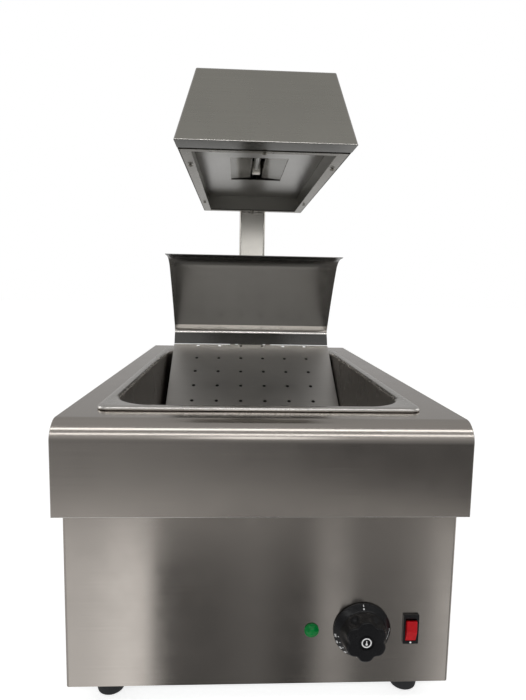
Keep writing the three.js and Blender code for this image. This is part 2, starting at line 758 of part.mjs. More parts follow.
const postOutline = roundedRectangle(postWidth, postDepth, 4, 3);
const postOuter = upright(postOutline, baseTop + gap, postTop);
const postInner = upright(
  roundedRectangle(postWidth - 2 * postWall, postDepth - 2 * postWall, 2, 3),
  baseTop,
  postTop + 1,
);
postOuter.translate(0, postMiddle, 0);
postInner.translate(0, postMiddle, 0);
place("post", cut(postOuter, postInner, ...rearHoles), steel);
const capPlate = upright(postOutline, postTop + gap, postTop + 2);
place("post_cap", capPlate.translate(0, postMiddle, 0), blackPlastic);

// Mounting plate between the hood and the post, and the bolts through all three.
const mountHalf = 30;
const mountPlate = block(
  [-mountHalf, hoodRear + gap, hoodUnderside + 36],
  [mountHalf, postFront - gap, postTop],
);
place("hood_mount_plate", cut(mountPlate, ...rearHoles), steel);
hoodBoltPlaces.forEach(([x, z], index) => {
  screw("hood_bolt_" + (index + 1), 5, 3.5, 2.9, 12, zinc, headFront, [x, hoodRear - hoodSheet, z]);
});

// Lead: from the cabinet up inside the post and forward into the hood.
const leadRadius = 3;
const leadBend = 10;
const leadCurve = new THREE.CurvePath();
const leadStart = new THREE.Vector3(0, leadY, counterTop - 60);
const leadTurn = new THREE.Vector3(0, leadY, leadZ - leadBend);
const leadIn = new THREE.Vector3(0, leadY - leadBend, leadZ);
leadCurve.add(new THREE.LineCurve3(leadStart, leadTurn));
leadCurve.add(new THREE.QuadraticBezierCurve3(leadTurn, new THREE.Vector3(0, leadY, leadZ), leadIn));
leadCurve.add(new THREE.LineCurve3(leadIn, new THREE.Vector3(0, hoodRear - 70, leadZ)));
const leadSection = new THREE.Shape(arc([0, 0], leadRadius, 0, 315, 7));
const lead = new THREE.ExtrudeGeometry(leadSection, { steps: 36, extrudePath: leadCurve });
place("lamp_lead", lead, rubber);

// Hood: a folded shell with a leaning front and sides, open below, with a strip and returns for the frame.
const sideLean = (hoodWidth - hoodTopWidth) / 2 / hoodHeight;
const frontLean = hoodFrontLean / hoodHeight;
const skin = hoodSheet * 1.03; // the wall measured level
function hoodRing(height, inward) {
  const x = hoodWidth / 2 - sideLean * height - inward;
  const front = hoodFront + frontLean * height + inward;
  const rear = hoodRear - inward;
  const z = hoodUnderside + height;
  return [
    [x, front],
    [x, rear],
    [-x, rear],
    [-x, front],
  ].map(([cornerX, cornerY]) => new THREE.Vector3(cornerX, cornerY, z));
}
const frameFront = hoodFront + hoodReturn + 1;
const frameRear = hoodRear - skin - gap;
const frameX = hoodWidth / 2 - skin - 0.6;
const returnZ = hoodUnderside + frameThickness + gap;
const frameScrews = [
  [0, frameFront + frameMember / 2],
  [-frameX + frameMember / 2, hoodFront + 110],
  [frameX - frameMember / 2, hoodFront + 110],
  [-frameX + frameMember / 2, hoodFront + 396],
  [frameX - frameMember / 2, hoodFront + 396],
  [0, frameRear - frameMember / 2],
];
const screwHoles = frameScrews.map(([x, y]) => bar(2, 10, "z", [x, y, hoodUnderside - 3], 10));
const returnWidth = frameMember - 2;
const returnRing = upright(
  roundedRectangle(2 * frameX + 0.6, frameRear - frameFront + 0.6, 0.5, 1),
  returnZ,
  returnZ + hoodSheet,
);
const returnHole = upright(
  roundedRectangle(2 * (frameX - returnWidth), frameRear - frameFront - 2 * returnWidth, 0.5, 1),
  returnZ - 1,
  returnZ + hoodSheet + 1,
);
const frameMiddle = (frameFront + frameRear) / 2;
returnRing.translate(0, frameMiddle, 0);
returnHole.translate(0, frameMiddle, 0);
const strip = block(
  [-hoodWidth / 2 + 1, hoodFront + 0.8, hoodUnderside],
  [hoodWidth / 2 - 1, hoodFront + hoodReturn, hoodUnderside + hoodSheet],
);
const stripStep = block(
  [-frameX, hoodFront + hoodReturn - 6, hoodUnderside + 0.5],
  [frameX, frameFront + 2, returnZ + hoodSheet],
);
const stripClear = block(
  [-frameX - 1, hoodFront + hoodReturn, hoodUnderside - 1],
  [frameX + 1, frameFront + 4, returnZ],
);
const hoodOpen = cut(
  loft([hoodRing(hoodHeight, 0), hoodRing(0, 0)]),
  loft([hoodRing(hoodHeight - hoodSheet, skin), hoodRing(-1, skin)]),
);
const hoodReturns = cut(returnRing, returnHole);
const hoodStep = cut(stripStep, stripClear);
const hoodJoined = joined(hoodOpen, hoodReturns, strip, hoodStep);
place("hood_shell", cut(hoodJoined, ...rearHoles, ...screwHoles), steel);

// Frame: a flat ring that closes the hood's rim, held by six screws.
const frameOuter = upright(
  roundedRectangle(2 * frameX, frameRear - frameFront, 0.5, 1),
  hoodUnderside,
  hoodUnderside + frameThickness,
);
const frameInner = upright(
  roundedRectangle(2 * (frameX - frameMember), frameRear - frameFront - 2 * frameMember, 1, 1),
  hoodUnderside - 1,
  hoodUnderside + frameThickness + 1,
);
frameOuter.translate(0, frameMiddle, 0);
frameInner.translate(0, frameMiddle, 0);
place("hood_frame", cut(frameOuter, frameInner, ...screwHoles), steel);
frameScrews.forEach(([x, y], index) => {
  screw("frame_screw_" + (index + 1), 3.6, 2.2, 1.7, 5, zinc, headDown, [x, y, hoodUnderside]);
});

// Ceiling plate: polished, with the cut-out that the lamp's reflector looks through.
const ceilingZ = hoodUnderside + ceilingRise;
const ceilingX = hoodWidth / 2 - sideLean * (ceilingRise + 1) - skin - gap;
const ceilingFront = hoodFront + frontLean * (ceilingRise + 1) + skin + gap;
const lampMiddle = hoodFront + 271;
const lampCutOut = [40, 77]; // half width and half length
place(
  "ceiling_plate",
  cut(
    block([-ceilingX, ceilingFront, ceilingZ], [ceilingX, frameRear, ceilingZ + 1]),
    block(
      [-lampCutOut[0], lampMiddle - lampCutOut[1], ceilingZ - 1],
      [lampCutOut[0], lampMiddle + lampCutOut[1], ceilingZ + 2],
    ),
  ),
  polished,
);

// Reflector: two wings and a trough, folded from one polished sheet, on the ceiling plate.
const reflectorZ = ceilingZ + 1 + gap;
const troughHalf = 9;
const troughTop = reflectorZ + 30;
const reflectorPath = [
  [-lampCutOut[0] - 5, reflectorZ],
  [-lampCutOut[0], reflectorZ],
  [-troughHalf, reflectorZ + 6],
  [-troughHalf, troughTop],
  [troughHalf, troughTop],
  [troughHalf, reflectorZ + 6],
  [lampCutOut[0], reflectorZ],
  [lampCutOut[0] + 5, reflectorZ],
];
const reflectorLength = 2 * lampCutOut[1] + 4;
const reflectorSheet = 0.8;
const reflectorOutline = sheetOutline(reflectorPath, -reflectorSheet);
const reflector = frontwards(reflectorOutline, lampMiddle + reflectorLength / 2, reflectorLength);
place("lamp_reflector", reflector, polished);

// Quartz lamp with pinched ends in two ceramic holders.
const lampZ = reflectorZ + 14;
const lampHalf = 59;
const tubeRadius = 5;
const pinchRadius = 2.4;
const lampProfile = [
  [0, -lampHalf],
  [pinchRadius, -lampHalf],
  [pinchRadius, -lampHalf + 7],
  [tubeRadius, -lampHalf + 11],
  [tubeRadius, lampHalf - 11],
  [pinchRadius, lampHalf - 7],
  [pinchRadius, lampHalf],
  [0, lampHalf],
];
place("quartz_lamp", turned(lampProfile, "y", [0, lampMiddle, lampZ], 16), quartz);
const holderHalf = 6.5;
const socketDepth = 4;
for (const end of [-1, 1]) {
  const near = lampMiddle + end * (lampHalf - socketDepth);
  const far = lampMiddle + end * (lampHalf + 11);
  const body = block(
    [-holderHalf, Math.min(near, far), lampZ - 8],
    [holderHalf, Math.max(near, far), lampZ + 10],
  );
  const socket = bar(pinchRadius + gap, 2 * socketDepth, "y", [0, near - socketDepth, lampZ], 16);
  place("lamp_holder_" + (end < 0 ? "front" : "rear"), cut(body, socket), ceramic);
}

export default warmer;
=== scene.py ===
# Countertop warmer for chips and fries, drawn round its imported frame, in metres.
# The sections follow the order in which the warmer is put together.
import math

import bmesh
import bpy
from mathutils import Matrix, Vector


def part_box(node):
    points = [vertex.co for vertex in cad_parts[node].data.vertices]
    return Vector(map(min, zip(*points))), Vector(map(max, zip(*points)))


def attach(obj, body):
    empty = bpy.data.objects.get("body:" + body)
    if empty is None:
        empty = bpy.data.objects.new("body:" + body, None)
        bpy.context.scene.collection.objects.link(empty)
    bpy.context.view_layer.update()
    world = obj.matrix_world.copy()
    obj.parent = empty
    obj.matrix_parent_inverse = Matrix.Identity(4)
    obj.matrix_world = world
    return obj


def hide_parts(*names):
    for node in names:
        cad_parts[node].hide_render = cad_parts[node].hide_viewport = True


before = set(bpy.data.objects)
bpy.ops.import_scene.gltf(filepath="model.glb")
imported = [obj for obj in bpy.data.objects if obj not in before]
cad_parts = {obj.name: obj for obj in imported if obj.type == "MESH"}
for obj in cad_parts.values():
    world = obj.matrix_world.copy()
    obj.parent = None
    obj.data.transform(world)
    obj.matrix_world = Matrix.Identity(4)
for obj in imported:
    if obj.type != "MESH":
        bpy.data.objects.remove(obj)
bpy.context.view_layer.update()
millimetre = 0.001

# ---- Camera ----
# A phone held a little above the countertop, half a metre in front of it, looking down at the pan.
eye = Vector((-0.02736, -0.79650, 0.41205))
looking = Vector((0.04844, 0.99221, -0.11478)).normalized()
level_right = Vector((0.99881, -0.04876, 0.0)).normalized()
level_up = level_right.cross(looking)
roll = math.radians(1.068)
camera_right = level_right * math.cos(roll) + level_up * math.sin(roll)
camera_up = level_up * math.cos(roll) - level_right * math.sin(roll)
camera = bpy.data.objects.new("camera", bpy.data.cameras.new("camera"))
camera.data.sensor_width = 36.0
camera.data.lens = 27.78
camera.data.clip_start = 0.01
axes = Matrix((camera_right, camera_up, -looking)).transposed()
camera.matrix_world = Matrix.Translation(eye) @ axes.to_4x4()
bpy.context.scene.collection.objects.link(camera)
bpy.context.scene.camera = camera
bpy.context.scene.view_settings.view_transform = "Standard"


# ---- Room: pale floor, soft sky and lights ----
# A pale studio sweep. What the steel mirrors is a dim room: upright bands low down, a pale rail over them,
# an even part up to the horizon, two long lamps over the nose of the countertop, a doorway, and a window on
# each side.
def new_node(tree, kind, links=None, **settings):
    """A node with its settings. The links join its inputs, by name or number, to other nodes' outputs."""
    node = tree.nodes.new(kind)
    for name, value in settings.items():
        if name in node.inputs:
            node.inputs[name].default_value = value
        else:
            setattr(node, name, value)
    for socket, source in (links or {}).items():
        tree.links.new(source, node.inputs[socket])
    return node


def product(tree, value, factor):
    node = new_node(tree, "ShaderNodeMath", {0: value}, operation="MULTIPLY")
    node.inputs[1].default_value = factor
    return node.outputs[0]


def ranged(tree, value, start, end, low=0.0, high=1.0):
    """A value stretched so that start becomes low and end becomes high."""
    limits = {"From Min": start, "From Max": end, "To Min": low, "To Max": high}
    return new_node(tree, "ShaderNodeMapRange", {"Value": value}, **limits).outputs[0]


def ramp_of(tree, value, stops):
    """A grey that follows a value through stops, each a position and a brightness."""
    node = new_node(tree, "ShaderNodeValToRGB", {0: value})
    elements = node.color_ramp.elements
    while len(elements) < len(stops):
        elements.new(0.5)
    for element, (position, brightness) in zip(elements, stops):
        element.position = position
        element.color = (brightness, brightness, brightness, 1.0)
    return node.outputs[0]


def blend(tree, share, first, second):
    """Two colours mixed by a share. Each is another node's output or a plain colour."""
    mix = new_node(tree, "ShaderNodeMix", {"Factor": share}, data_type="RGBA")
    for socket, colour in ((6, first), (7, second)):
        if isinstance(colour, bpy.types.NodeSocket):
            tree.links.new(colour, mix.inputs[socket])
        else:
            mix.inputs[socket].default_value = (*colour, 1.0)
    return mix.outputs[2]


room = bpy.data.worlds.new("room")
bpy.context.scene.world = room
room.use_nodes = True
sky = room.node_tree
sky.nodes.clear()
sky_place = new_node(sky, "ShaderNodeTexCoord").outputs["Generated"]
direction = new_node(sky, "ShaderNodeSeparateXYZ", {0: sky_place}).outputs
ahead = product(sky, direction["Y"], -1.0)
heading = new_node(sky, "ShaderNodeMath", {0: direction["X"], 1: ahead}, operation="ARCTAN2").outputs[0]
heading_share = ranged(sky, heading, -math.pi, math.pi)


def around(stops):
    """A grey by bearing from straight ahead of the cabinet, in degrees."""
    return ramp_of(sky, heading_share, [((bearing + 180) / 360, value) for bearing, value in stops])


bands = around([
    (-180, 0.85), (-140, 0.62), (-95, 0.35), (-60, 0.50), (-32, 0.40), (-20, 0.72), (-16, 0.66),
    (-12.0, 0.96), (-9.8, 0.88), (-8.6, 0.12), (-5.4, 0.08), (-2, 0.09), (3, 0.13), (6.4, 0.05), (9.2, 0.06),
    (10.4, 0.42), (12.4, 0.36), (13.2, 0.12), (18.6, 0.12), (20.3, 0.20), (21.8, 0.15), (23, 0.75),
    (27, 0.40), (50, 0.12), (80, 0.45), (110, 0.35), (140, 0.62), (180, 0.85),
])
even = around([
    (-180, 0.50), (-140, 0.50), (-95, 0.40), (-50, 0.30), (-18, 0.19), (-10, 0.20), (3, 0.11), (10, 0.04),
    (16, 0.02), (26, 0.03), (50, 0.12), (80, 0.40), (110, 0.36), (140, 0.50), (180, 0.50),
])
lower = blend(sky, ranged(sky, direction["Z"], -0.43, -0.40), bands, even)
rail_place = ranged(sky, direction["Z"], -0.46, -0.33)
rail_share = ramp_of(sky, rail_place, [(0.0, 0.0), (0.30, 0.0), (0.45, 0.75), (0.62, 0.75), (0.80, 0.0)])
railed = blend(sky, rail_share, lower, (0.64, 0.63, 0.62))
# Above the horizon the room is evenly dim, with a paler wall behind the warmer.
dim_stops = [(0.0, 0.20), (0.10, 0.22), (0.30, 0.34), (0.55, 0.40), (0.80, 0.27), (0.92, 0.30), (1.0, 0.34)]
wall_ahead = ramp_of(sky, direction["Z"], dim_stops)
wall_behind = ramp_of(sky, direction["Z"], [(0.0, 0.46), (0.25, 0.32), (0.60, 0.30), (1.0, 0.34)])
upper = blend(sky, ranged(sky, direction["Y"], -0.25, 0.45), wall_ahead, wall_behind)
whole_sky = blend(sky, ranged(sky, direction["Z"], -0.33, 0.0), railed, upper)
mirrored = new_node(sky, "ShaderNodeBackground", {"Color": whole_sky}).outputs[0]
seen = new_node(sky, "ShaderNodeBackground", Color=(1.0, 1.0, 1.0, 1.0)).outputs[0]
camera_ray = new_node(sky, "ShaderNodeLightPath").outputs["Is Camera Ray"]
sky_mix = new_node(sky, "ShaderNodeMixShader", {0: camera_ray, 1: mirrored, 2: seen}).outputs[0]
new_node(sky, "ShaderNodeOutputWorld", {0: sky_mix})


def softbox(name, place, target, width, height, brightness):
    """A lamp that faces its target and can be seen only in reflections."""
    lamp = bpy.data.lights.new(name, "AREA")
    lamp.shape = "RECTANGLE"
    lamp.size = width
    lamp.size_y = height
    lamp.energy = brightness * math.pi * width * height
    lamp_object = bpy.data.objects.new(name, lamp)
    aim = (Vector(target) - Vector(place)).to_track_quat("-Z", "Y")
    lamp_object.matrix_world = Matrix.Translation(place) @ aim.to_matrix().to_4x4()
    lamp_object.visible_camera = False
    bpy.context.scene.collection.objects.link(lamp_object)


nose = (0.0, -0.30, 0.29)
softbox("upper_lamp", (0.0, -0.502, 0.636), nose, 1.0, 0.057, 2.4)
softbox("lower_lamp", (0.0, -1.22, 0.90), nose, 2.6, 0.10, 2.2)
softbox("door", (0.03, -1.2, 0.562), (0.0, 0.2, 0.52), 0.30, 0.22, 1.15)
softbox("window_left", (-1.6, 0.2, 0.9), (0.0, 0.0, 0.3), 1.0, 1.0, 1.0)
softbox("window_right", (1.7, 0.4, 1.0), (0.0, 0.0, 0.3), 1.0, 1.0, 0.8)

floor_mesh = bpy.data.meshes.new("floor")
reach = 12.0
floor_mesh.from_pydata(
    [(-reach, -reach, 0), (reach, -reach, 0), (reach, reach, 0), (-reach, reach, 0)], [], [(0, 1, 2, 3)]
)
floor = bpy.data.objects.new("floor", floor_mesh)
floor.visible_glossy = False
bpy.context.scene.collection.objects.link(floor)
floor_paint = bpy.data.materials.new("pale_floor")
floor_paint.use_nodes = True
floor_shader = floor_paint.node_tree.nodes["Principled BSDF"]
floor_shader.inputs["Base Color"].default_value = (0.90, 0.90, 0.89, 1.0)
floor_shader.inputs["Roughness"].default_value = 0.9
floor_shader.inputs["Emission Color"].default_value = (1.0, 1.0, 1.0, 1.0)
floor_shader.inputs["Emission Strength"].default_value = 0.72
floor_mesh.materials.append(floor_paint)


# ---- Cabinet shell ----
# One sheet of brushed stainless, folded round the front and the sides, with narrow returns at the back.
# The sheet is brushed along its length, so the grain runs level and reflections stretch up and down.
def new_material(name):
    """A material, its tree, its shader, and the place on the piece that its patterns follow."""
    material = bpy.data.materials.new(name)
    material.use_nodes = True
    tree = material.node_tree
    place = new_node(tree, "ShaderNodeTexCoord").outputs["Object"]
    return material, tree, tree.nodes["Principled BSDF"], place


def noise(tree, place, scale, detail, roughness=0.5):
    settings = {"Scale": scale, "Detail": detail, "Roughness": roughness}
    return new_node(tree, "ShaderNodeTexNoise", {"Vector": place}, **settings).outputs["Fac"]


def two_tones(tree, shader, share, tone, darker, lighter):
    """Lets the colour wander between a darker and a lighter tone."""
    dark = tuple(channel * darker for channel in tone)
    light = tuple(channel * lighter for channel in tone)
    tree.links.new(blend(tree, share, dark, light), shader.inputs["Base Color"])


def uneven(tree, shader, value, low, high, start=0.0, end=1.0):
    """Lets the roughness wander between low and high."""
    tree.links.new(ranged(tree, value, start, end, low, high), shader.inputs["Roughness"])


def bumped(tree, shader, height, strength, distance):
    """Gives the surface a fine relief."""
    bump = new_node(tree, "ShaderNodeBump", {"Height": height}, Strength=strength, Distance=distance)
    tree.links.new(bump.outputs[0], shader.inputs["Normal"])


# Each grain has a 1 for the axes it is fine across and a 0 for those it runs along.
level_grain = (0, 0, 1)
crosswise_grain = (0, 1, 1)
lengthways_grain = (1, 0, 0)


def brushed_steel(name, grain, tone, roughness, anisotropy, relief=0.02):
    """Steel with fine and broad brush lines, faint clouds in its tone and smudges in its gloss."""
    material, tree, shader, place = new_material(name)

    def pattern(scale, detail, detail_roughness):
        mapping = new_node(tree, "ShaderNodeMapping", {"Vector": place}, Scale=scale)
        return noise(tree, mapping.outputs[0], 1.0, detail, detail_roughness)

    def mixed(first, second, share):
        links = {2: first, 3: second}
        return new_node(tree, "ShaderNodeMix", links, data_type="FLOAT", Factor=share).outputs[0]

    fine = pattern(tuple(1900 if across else 9 for across in grain), 3.0, 0.6)
    broad = pattern(tuple(650 if across else 4 for across in grain), 3.0, 0.6)
    lines = mixed(fine, broad, 0.4)
    clouds = pattern((7.0, 7.0, 9.0), 3.0, 0.55)
    smudges = pattern((28.0, 31.0, 24.0), 4.0, 0.6)
    two_tones(tree, shader, ranged(tree, mixed(lines, clouds, 0.45), 0.32, 0.68), tone, 0.94, 1.05)
    uneven(tree, shader, mixed(lines, smudges, 0.7), roughness - 0.02, roughness + 0.03, 0.35, 0.65)
    bumped(tree, shader, lines, relief, 0.0002)
    round_axis = "Z" if grain == level_grain else "X"
    tangent = new_node(tree, "ShaderNodeTangent", direction_type="RADIAL", axis=round_axis)
    tree.links.new(tangent.outputs[0], shader.inputs["Tangent"])
    shader.inputs["Metallic"].default_value = 1.0
    shader.inputs["Anisotropic"].default_value = anisotropy
    shader.inputs["Anisotropic Rotation"].default_value = 0.25
    return material


steel_tone = (0.620, 0.572, 0.524)
cabinet_steel = brushed_steel("cabinet_steel", level_grain, steel_tone, 0.14, 0.92)


def arc(centre, radius, start, end, steps):
    return [
        (
            centre[0] + radius * math.cos(math.radians(start + (end - start) * step / steps)),
            centre[1] + radius * math.sin(math.radians(start + (end - start) * step / steps)),
        )
        for step in range(steps + 1)
    ]


def sheet_outline(line, thickness):
    """A bent sheet's outline: a line, and the same line moved to its right by the thickness."""
    points = [Vector(point) for point in line]
    ways = [(after - before).normalized() for before, after in zip(points, points[1:])]
    moved = []
    for index, point in enumerate(points):
        before = ways[max(index - 1, 0)]
        after = ways[min(index, len(ways) - 1)]
        mitre = (before + after).normalized()
        width = thickness / max(mitre.dot(before), 0.5)
        moved.append(point + Vector((mitre.y, -mitre.x)) * width)
    return [tuple(point) for point in points + moved[::-1]]


def lofted(name, rings, closed=False):
    """A solid through rings of equally many points, capped unless its last ring is its first again."""
    if closed:
        rings = rings[:-1]
    rows, size = len(rings), len(rings[0])
    faces = [] if closed else [tuple(range(size))[::-1], tuple(range((rows - 1) * size, rows * size))]
    for row in range(rows if closed else rows - 1):
        here, there = row * size, (row + 1) % rows * size
        for step in range(size):
            after = (step + 1) % size
            faces.append((here + step, here + after, there + after, there + step))
    mesh = bpy.data.meshes.new(name)
    mesh.from_pydata([point for ring in rings for point in ring], [], faces)
    return tidy(name, mesh)


def prism(name, outline, axis, start, end):
    """A solid with a flat outline, along X (outline in Y, Z), Y (outline in X, Z) or Z (outline in X, Y)."""
    place = {
        "x": lambda u, v, w: (w, u, v),
        "y": lambda u, v, w: (u, w, v),
        "z": lambda u, v, w: (u, v, w),
    }[axis]
    return lofted(name, [[place(u, v, w) for u, v in outline] for w in (start, end)])


def tidy(name, mesh):
    """An object of a mesh whose doubles are merged and whose faces point outwards."""
    work = bmesh.new()
    work.from_mesh(mesh)
    bmesh.ops.remove_doubles(work, verts=work.verts, dist=1e-7)
    bmesh.ops.recalc_face_normals(work, faces=work.faces)
    work.to_mesh(mesh)
    work.free()
    piece = bpy.data.objects.new(name, mesh)
    bpy.context.scene.collection.objects.link(piece)
    return piece


def settled(piece):
    """The piece with its modifiers made part of its mesh."""
    bpy.context.view_layer.update()
    graph = bpy.context.evaluated_depsgraph_get()
    mesh = bpy.data.meshes.new_from_object(piece.evaluated_get(graph), depsgraph=graph)
    piece.modifiers.clear()
    piece.data = mesh
    return piece


def combined(piece, others, operation="DIFFERENCE"):
    """The piece with the others cut out of it or joined to it."""
    for other in others:
        step = piece.modifiers.new("combine", "BOOLEAN")
        step.operation = operation
        step.solver = "EXACT"
        step.object = other
    settled(piece)
    for other in others:
        bpy.data.objects.remove(other)
    return piece


def smooth(piece, material=None, angle=35):
    """Shades a piece smooth except across its sharp edges, and gives it its material."""
    if material is not None:
        if not piece.data.materials:
            piece.data.materials.append(material)
        piece.data.materials[0] = material
    piece.data.polygons.foreach_set("use_smooth", [True] * len(piece.data.polygons))
    piece.data.set_sharp_from_angle(angle=math.radians(angle))
    flats = piece.modifiers.new("flats stay flat", "WEIGHTED_NORMAL")
    flats.keep_sharp = True
    flats.weight = 100
    return settled(piece)


def rounded_edges(piece, width, segments=2, angle=40, slot=-1):
    """Breaks a piece's sharp edges. The new faces can take another of the piece's material slots."""
    bevel = piece.modifiers.new("broken edges", "BEVEL")
    bevel.material = slot
    bevel.width = width
    bevel.segments = segments
    bevel.limit_method = "ANGLE"
    bevel.angle_limit = math.radians(angle)
    bevel.harden_normals = False
    return settled(piece)


def fitted(piece, body, slot, *nodes):
    """The piece moves with a body and stands for nodes of the frame, which are hidden. The slot is not used.
    """
    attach(piece, body)
    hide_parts(*nodes)


shell_low, shell_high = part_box("body_wrap")
shell_sheet = 1.2 * millimetre
shell_corner = 3 * millimetre
shell_return = 14 * millimetre
side = shell_high.x
shell_front = shell_low.y
shell_line = [
    (side - shell_return, shell_high.y),
    *arc((side - shell_corner, shell_high.y - shell_corner), shell_corner, 90, 0, 8),
    *arc((side - shell_corner, shell_front + shell_corner), shell_corner, 0, -90, 8),
    *arc((shell_corner - side, shell_front + shell_corner), shell_corner, -90, -180, 8),
    *arc((shell_corner - side, shell_high.y - shell_corner), shell_corner, 180, 90, 8),
    (shell_return - side, shell_high.y),
]
shell = prism("cabinet_shell", sheet_outline(shell_line, shell_sheet), "z", shell_low.z, shell_high.z)
controls_height = 77 * millimetre
indicator_x, dial_x, switch_x = (across * millimetre for across in (50, 100, 149))


def disc_outline(x, z, radius, steps=48):
    return arc((x, z), radius, 0, 360 - 360 / steps, steps - 1)


def rectangle(low_u, low_v, high_u, high_v):
    return [(low_u, low_v), (high_u, low_v), (high_u, high_v), (low_u, high_v)]


def box_outline(x, z, half_x, half_z):
    return rectangle(x - half_x, z - half_z, x + half_x, z + half_z)


control_holes = [
    disc_outline(indicator_x, controls_height, 5.2 * millimetre),
    disc_outline(dial_x, controls_height, 6 * millimetre),
    box_outline(switch_x, controls_height, 6.9 * millimetre, 14 * millimetre),
]
overshoot = 2 * millimetre  # how far a cutter reaches past the face it cuts
cutters = [
    prism("hole", hole, "y", shell_front - overshoot, shell_front + 2 * overshoot) for hole in control_holes
]
smooth(rounded_edges(combined(shell, cutters), 0.2 * millimetre, 2, 60), cabinet_steel)
fitted(shell, "cabinet", "brushed_steel", "body_wrap")


# ---- Bottom plate ----
# A shallow tray of aluminised sheet with rows of vent slots, dull and lightly spangled.
def spangled_steel(name, tone, roughness):
    """Coated or plated metal: small flakes of two tones under a faint cloud."""
    material, tree, shader, place = new_material(name)
    flakes = new_node(tree, "ShaderNodeTexVoronoi", {"Vector": place}, Scale=160.0).outputs["Distance"]
    cloud = noise(tree, place, 45.0, 4.0)
    two_tones(tree, shader, flakes, tone, 0.82, 1.12)
    uneven(tree, shader, cloud, roughness - 0.08, roughness + 0.10)
    bumped(tree, shader, cloud, 0.15, 0.0002)
    shader.inputs["Metallic"].default_value = 1.0
    return material


def painted(material, *nodes):
    """Gives nodes of the frame a material."""
    for node in nodes:
        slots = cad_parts[node].data.materials
        slots.clear()
        slots.append(material)


aluminised = spangled_steel("aluminised_sheet", (0.58, 0.60, 0.61), 0.42)
painted(aluminised, "bottom_plate")


# ---- Feet ----
# Four moulded rubber feet, slightly tapered, with a rounded tread and a ring near the top. Screws go up
# into them.
def moulded(name, tone, roughness, grain_scale, relief, gloss=0.5):
    """Moulded rubber or plastic: a fine pebbled skin with faint clouding."""
    material, tree, shader, place = new_material(name)
    cloud = noise(tree, place, 60.0, 3.0)
    two_tones(tree, shader, cloud, tone, 0.75, 1.3)
    uneven(tree, shader, cloud, roughness - 0.06, roughness + 0.08)
    bumped(tree, shader, noise(tree, place, grain_scale, 3.0), relief, 0.0001)
    shader.inputs["Specular IOR Level"].default_value = gloss
    return material


def turned(name, profile, axis, centre, segments=64):
    """A turned solid: the profile's points are (radius, distance along the axis), in millimetres."""
    place = {
        "z": lambda u, v, w: (u, v, w),
        "y": lambda u, v, w: (u, w, v),
        "-y": lambda u, v, w: (u, -w, v),
    }[axis]
    rings = []
    for radius, along in profile:
        circle = arc((0.0, 0.0), radius, 0, 360 - 360 / segments, segments - 1)
        ring = [place(*point, along) for point in circle]
        rings.append([[value * millimetre + start for value, start in zip(point, centre)] for point in ring])
    return lofted(name, rings, profile[0] == profile[-1])


foot_rubber = moulded("foot_rubber", (0.018, 0.019, 0.021), 0.72, 2600.0, 0.25)
foot_profile = [
    (2.9, 8.0), (2.9, 19.7), (14.2, 19.7), (15.0, 19.0), (15.0, 17.2), (14.6, 16.8), (14.6, 16.2),
    (14.9, 15.8), (13.6, 3.0), (13.1, 1.4), (11.8, 0.3), (10.5, 0.0), (7.0, 0.0), (6.2, 1.2), (2.9, 1.2),
    (2.9, 8.0),
]
for end in ("front", "rear"):
    for hand in ("left", "right"):
        foot_low, foot_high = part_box(f"foot_{end}_{hand}")
        foot_middle = (foot_low + foot_high) / 2
        foot = turned(f"rubber_foot_{end}_{hand}", foot_profile, "z", (foot_middle.x, foot_middle.y, 0.0))
        smooth(foot, foot_rubber)
        fitted(foot, "cabinet", "rubber", f"foot_{end}_{hand}")


# ---- Screws ----
# Zinc-plated pan-head screws with a cross recess. One tree makes a head and a shank at every point of a mesh.
def new_tree(name, **inputs):
    """A geometry tree with inputs of each kind, and the sockets of its two ends."""
    tree = bpy.data.node_groups.new(name, "GeometryNodeTree")
    tree.interface.new_socket(name="Geometry", in_out="INPUT", socket_type="NodeSocketGeometry")
    for kind, labels in inputs.items():
        for label in labels:
            tree.interface.new_socket(name=label, in_out="INPUT", socket_type="NodeSocket" + kind)
    tree.interface.new_socket(name="Geometry", in_out="OUTPUT", socket_type="NodeSocketGeometry")
    return tree, tree.nodes.new("NodeGroupInput").outputs, tree.nodes.new("NodeGroupOutput").inputs


def finished_tree(tree, geometry, given, made):
    """Ends a tree: its instances are made real and take the finish."""
    loose = new_node(tree, "GeometryNodeRealizeInstances", {0: geometry}).outputs[0]
    finished = new_node(tree, "GeometryNodeSetMaterial", {"Geometry": loose, "Material": given["Finish"]})
    tree.links.new(finished.outputs[0], made["Geometry"])


def grown(piece, tree, values):
    """The piece after a tree has worked on it, as a plain mesh. Its inputs are set by their identifiers."""
    modifier = piece.modifiers.new(tree.name, "NODES")
    modifier.node_group = tree
    for item in tree.interface.items_tree:
        if item.in_out == "INPUT" and item.name in values:
            modifier[item.identifier] = values[item.name]
    return settled(piece)


def points_object(name, points):
    mesh = bpy.data.meshes.new(name)
    mesh.from_pydata(points, [], [])
    piece = bpy.data.objects.new(name, mesh)
    bpy.context.scene.collection.objects.link(piece)
    return piece


screw_tree, given, made = new_tree(
    "screws",
    Float=["Head radius", "Head height", "Shank radius", "Shank length"],
    Vector=["Turn"],
    Material=["Finish"],
)


def raised(geometry, height):
    offset = new_node(screw_tree, "ShaderNodeCombineXYZ", {"Z": height}).outputs[0]
    moved = {"Geometry": geometry, "Translation": offset}
    return new_node(screw_tree, "GeometryNodeTransform", moved).outputs[0]


def frustum(low_radius, high_radius, depth):
    sizes = {"Radius Bottom": low_radius, "Radius Top": high_radius, "Depth": depth}
    return new_node(screw_tree, "GeometryNodeMeshCone", sizes, Vertices=32).outputs["Mesh"]


def of_height(share):
    return product(screw_tree, given["Head height"], share)


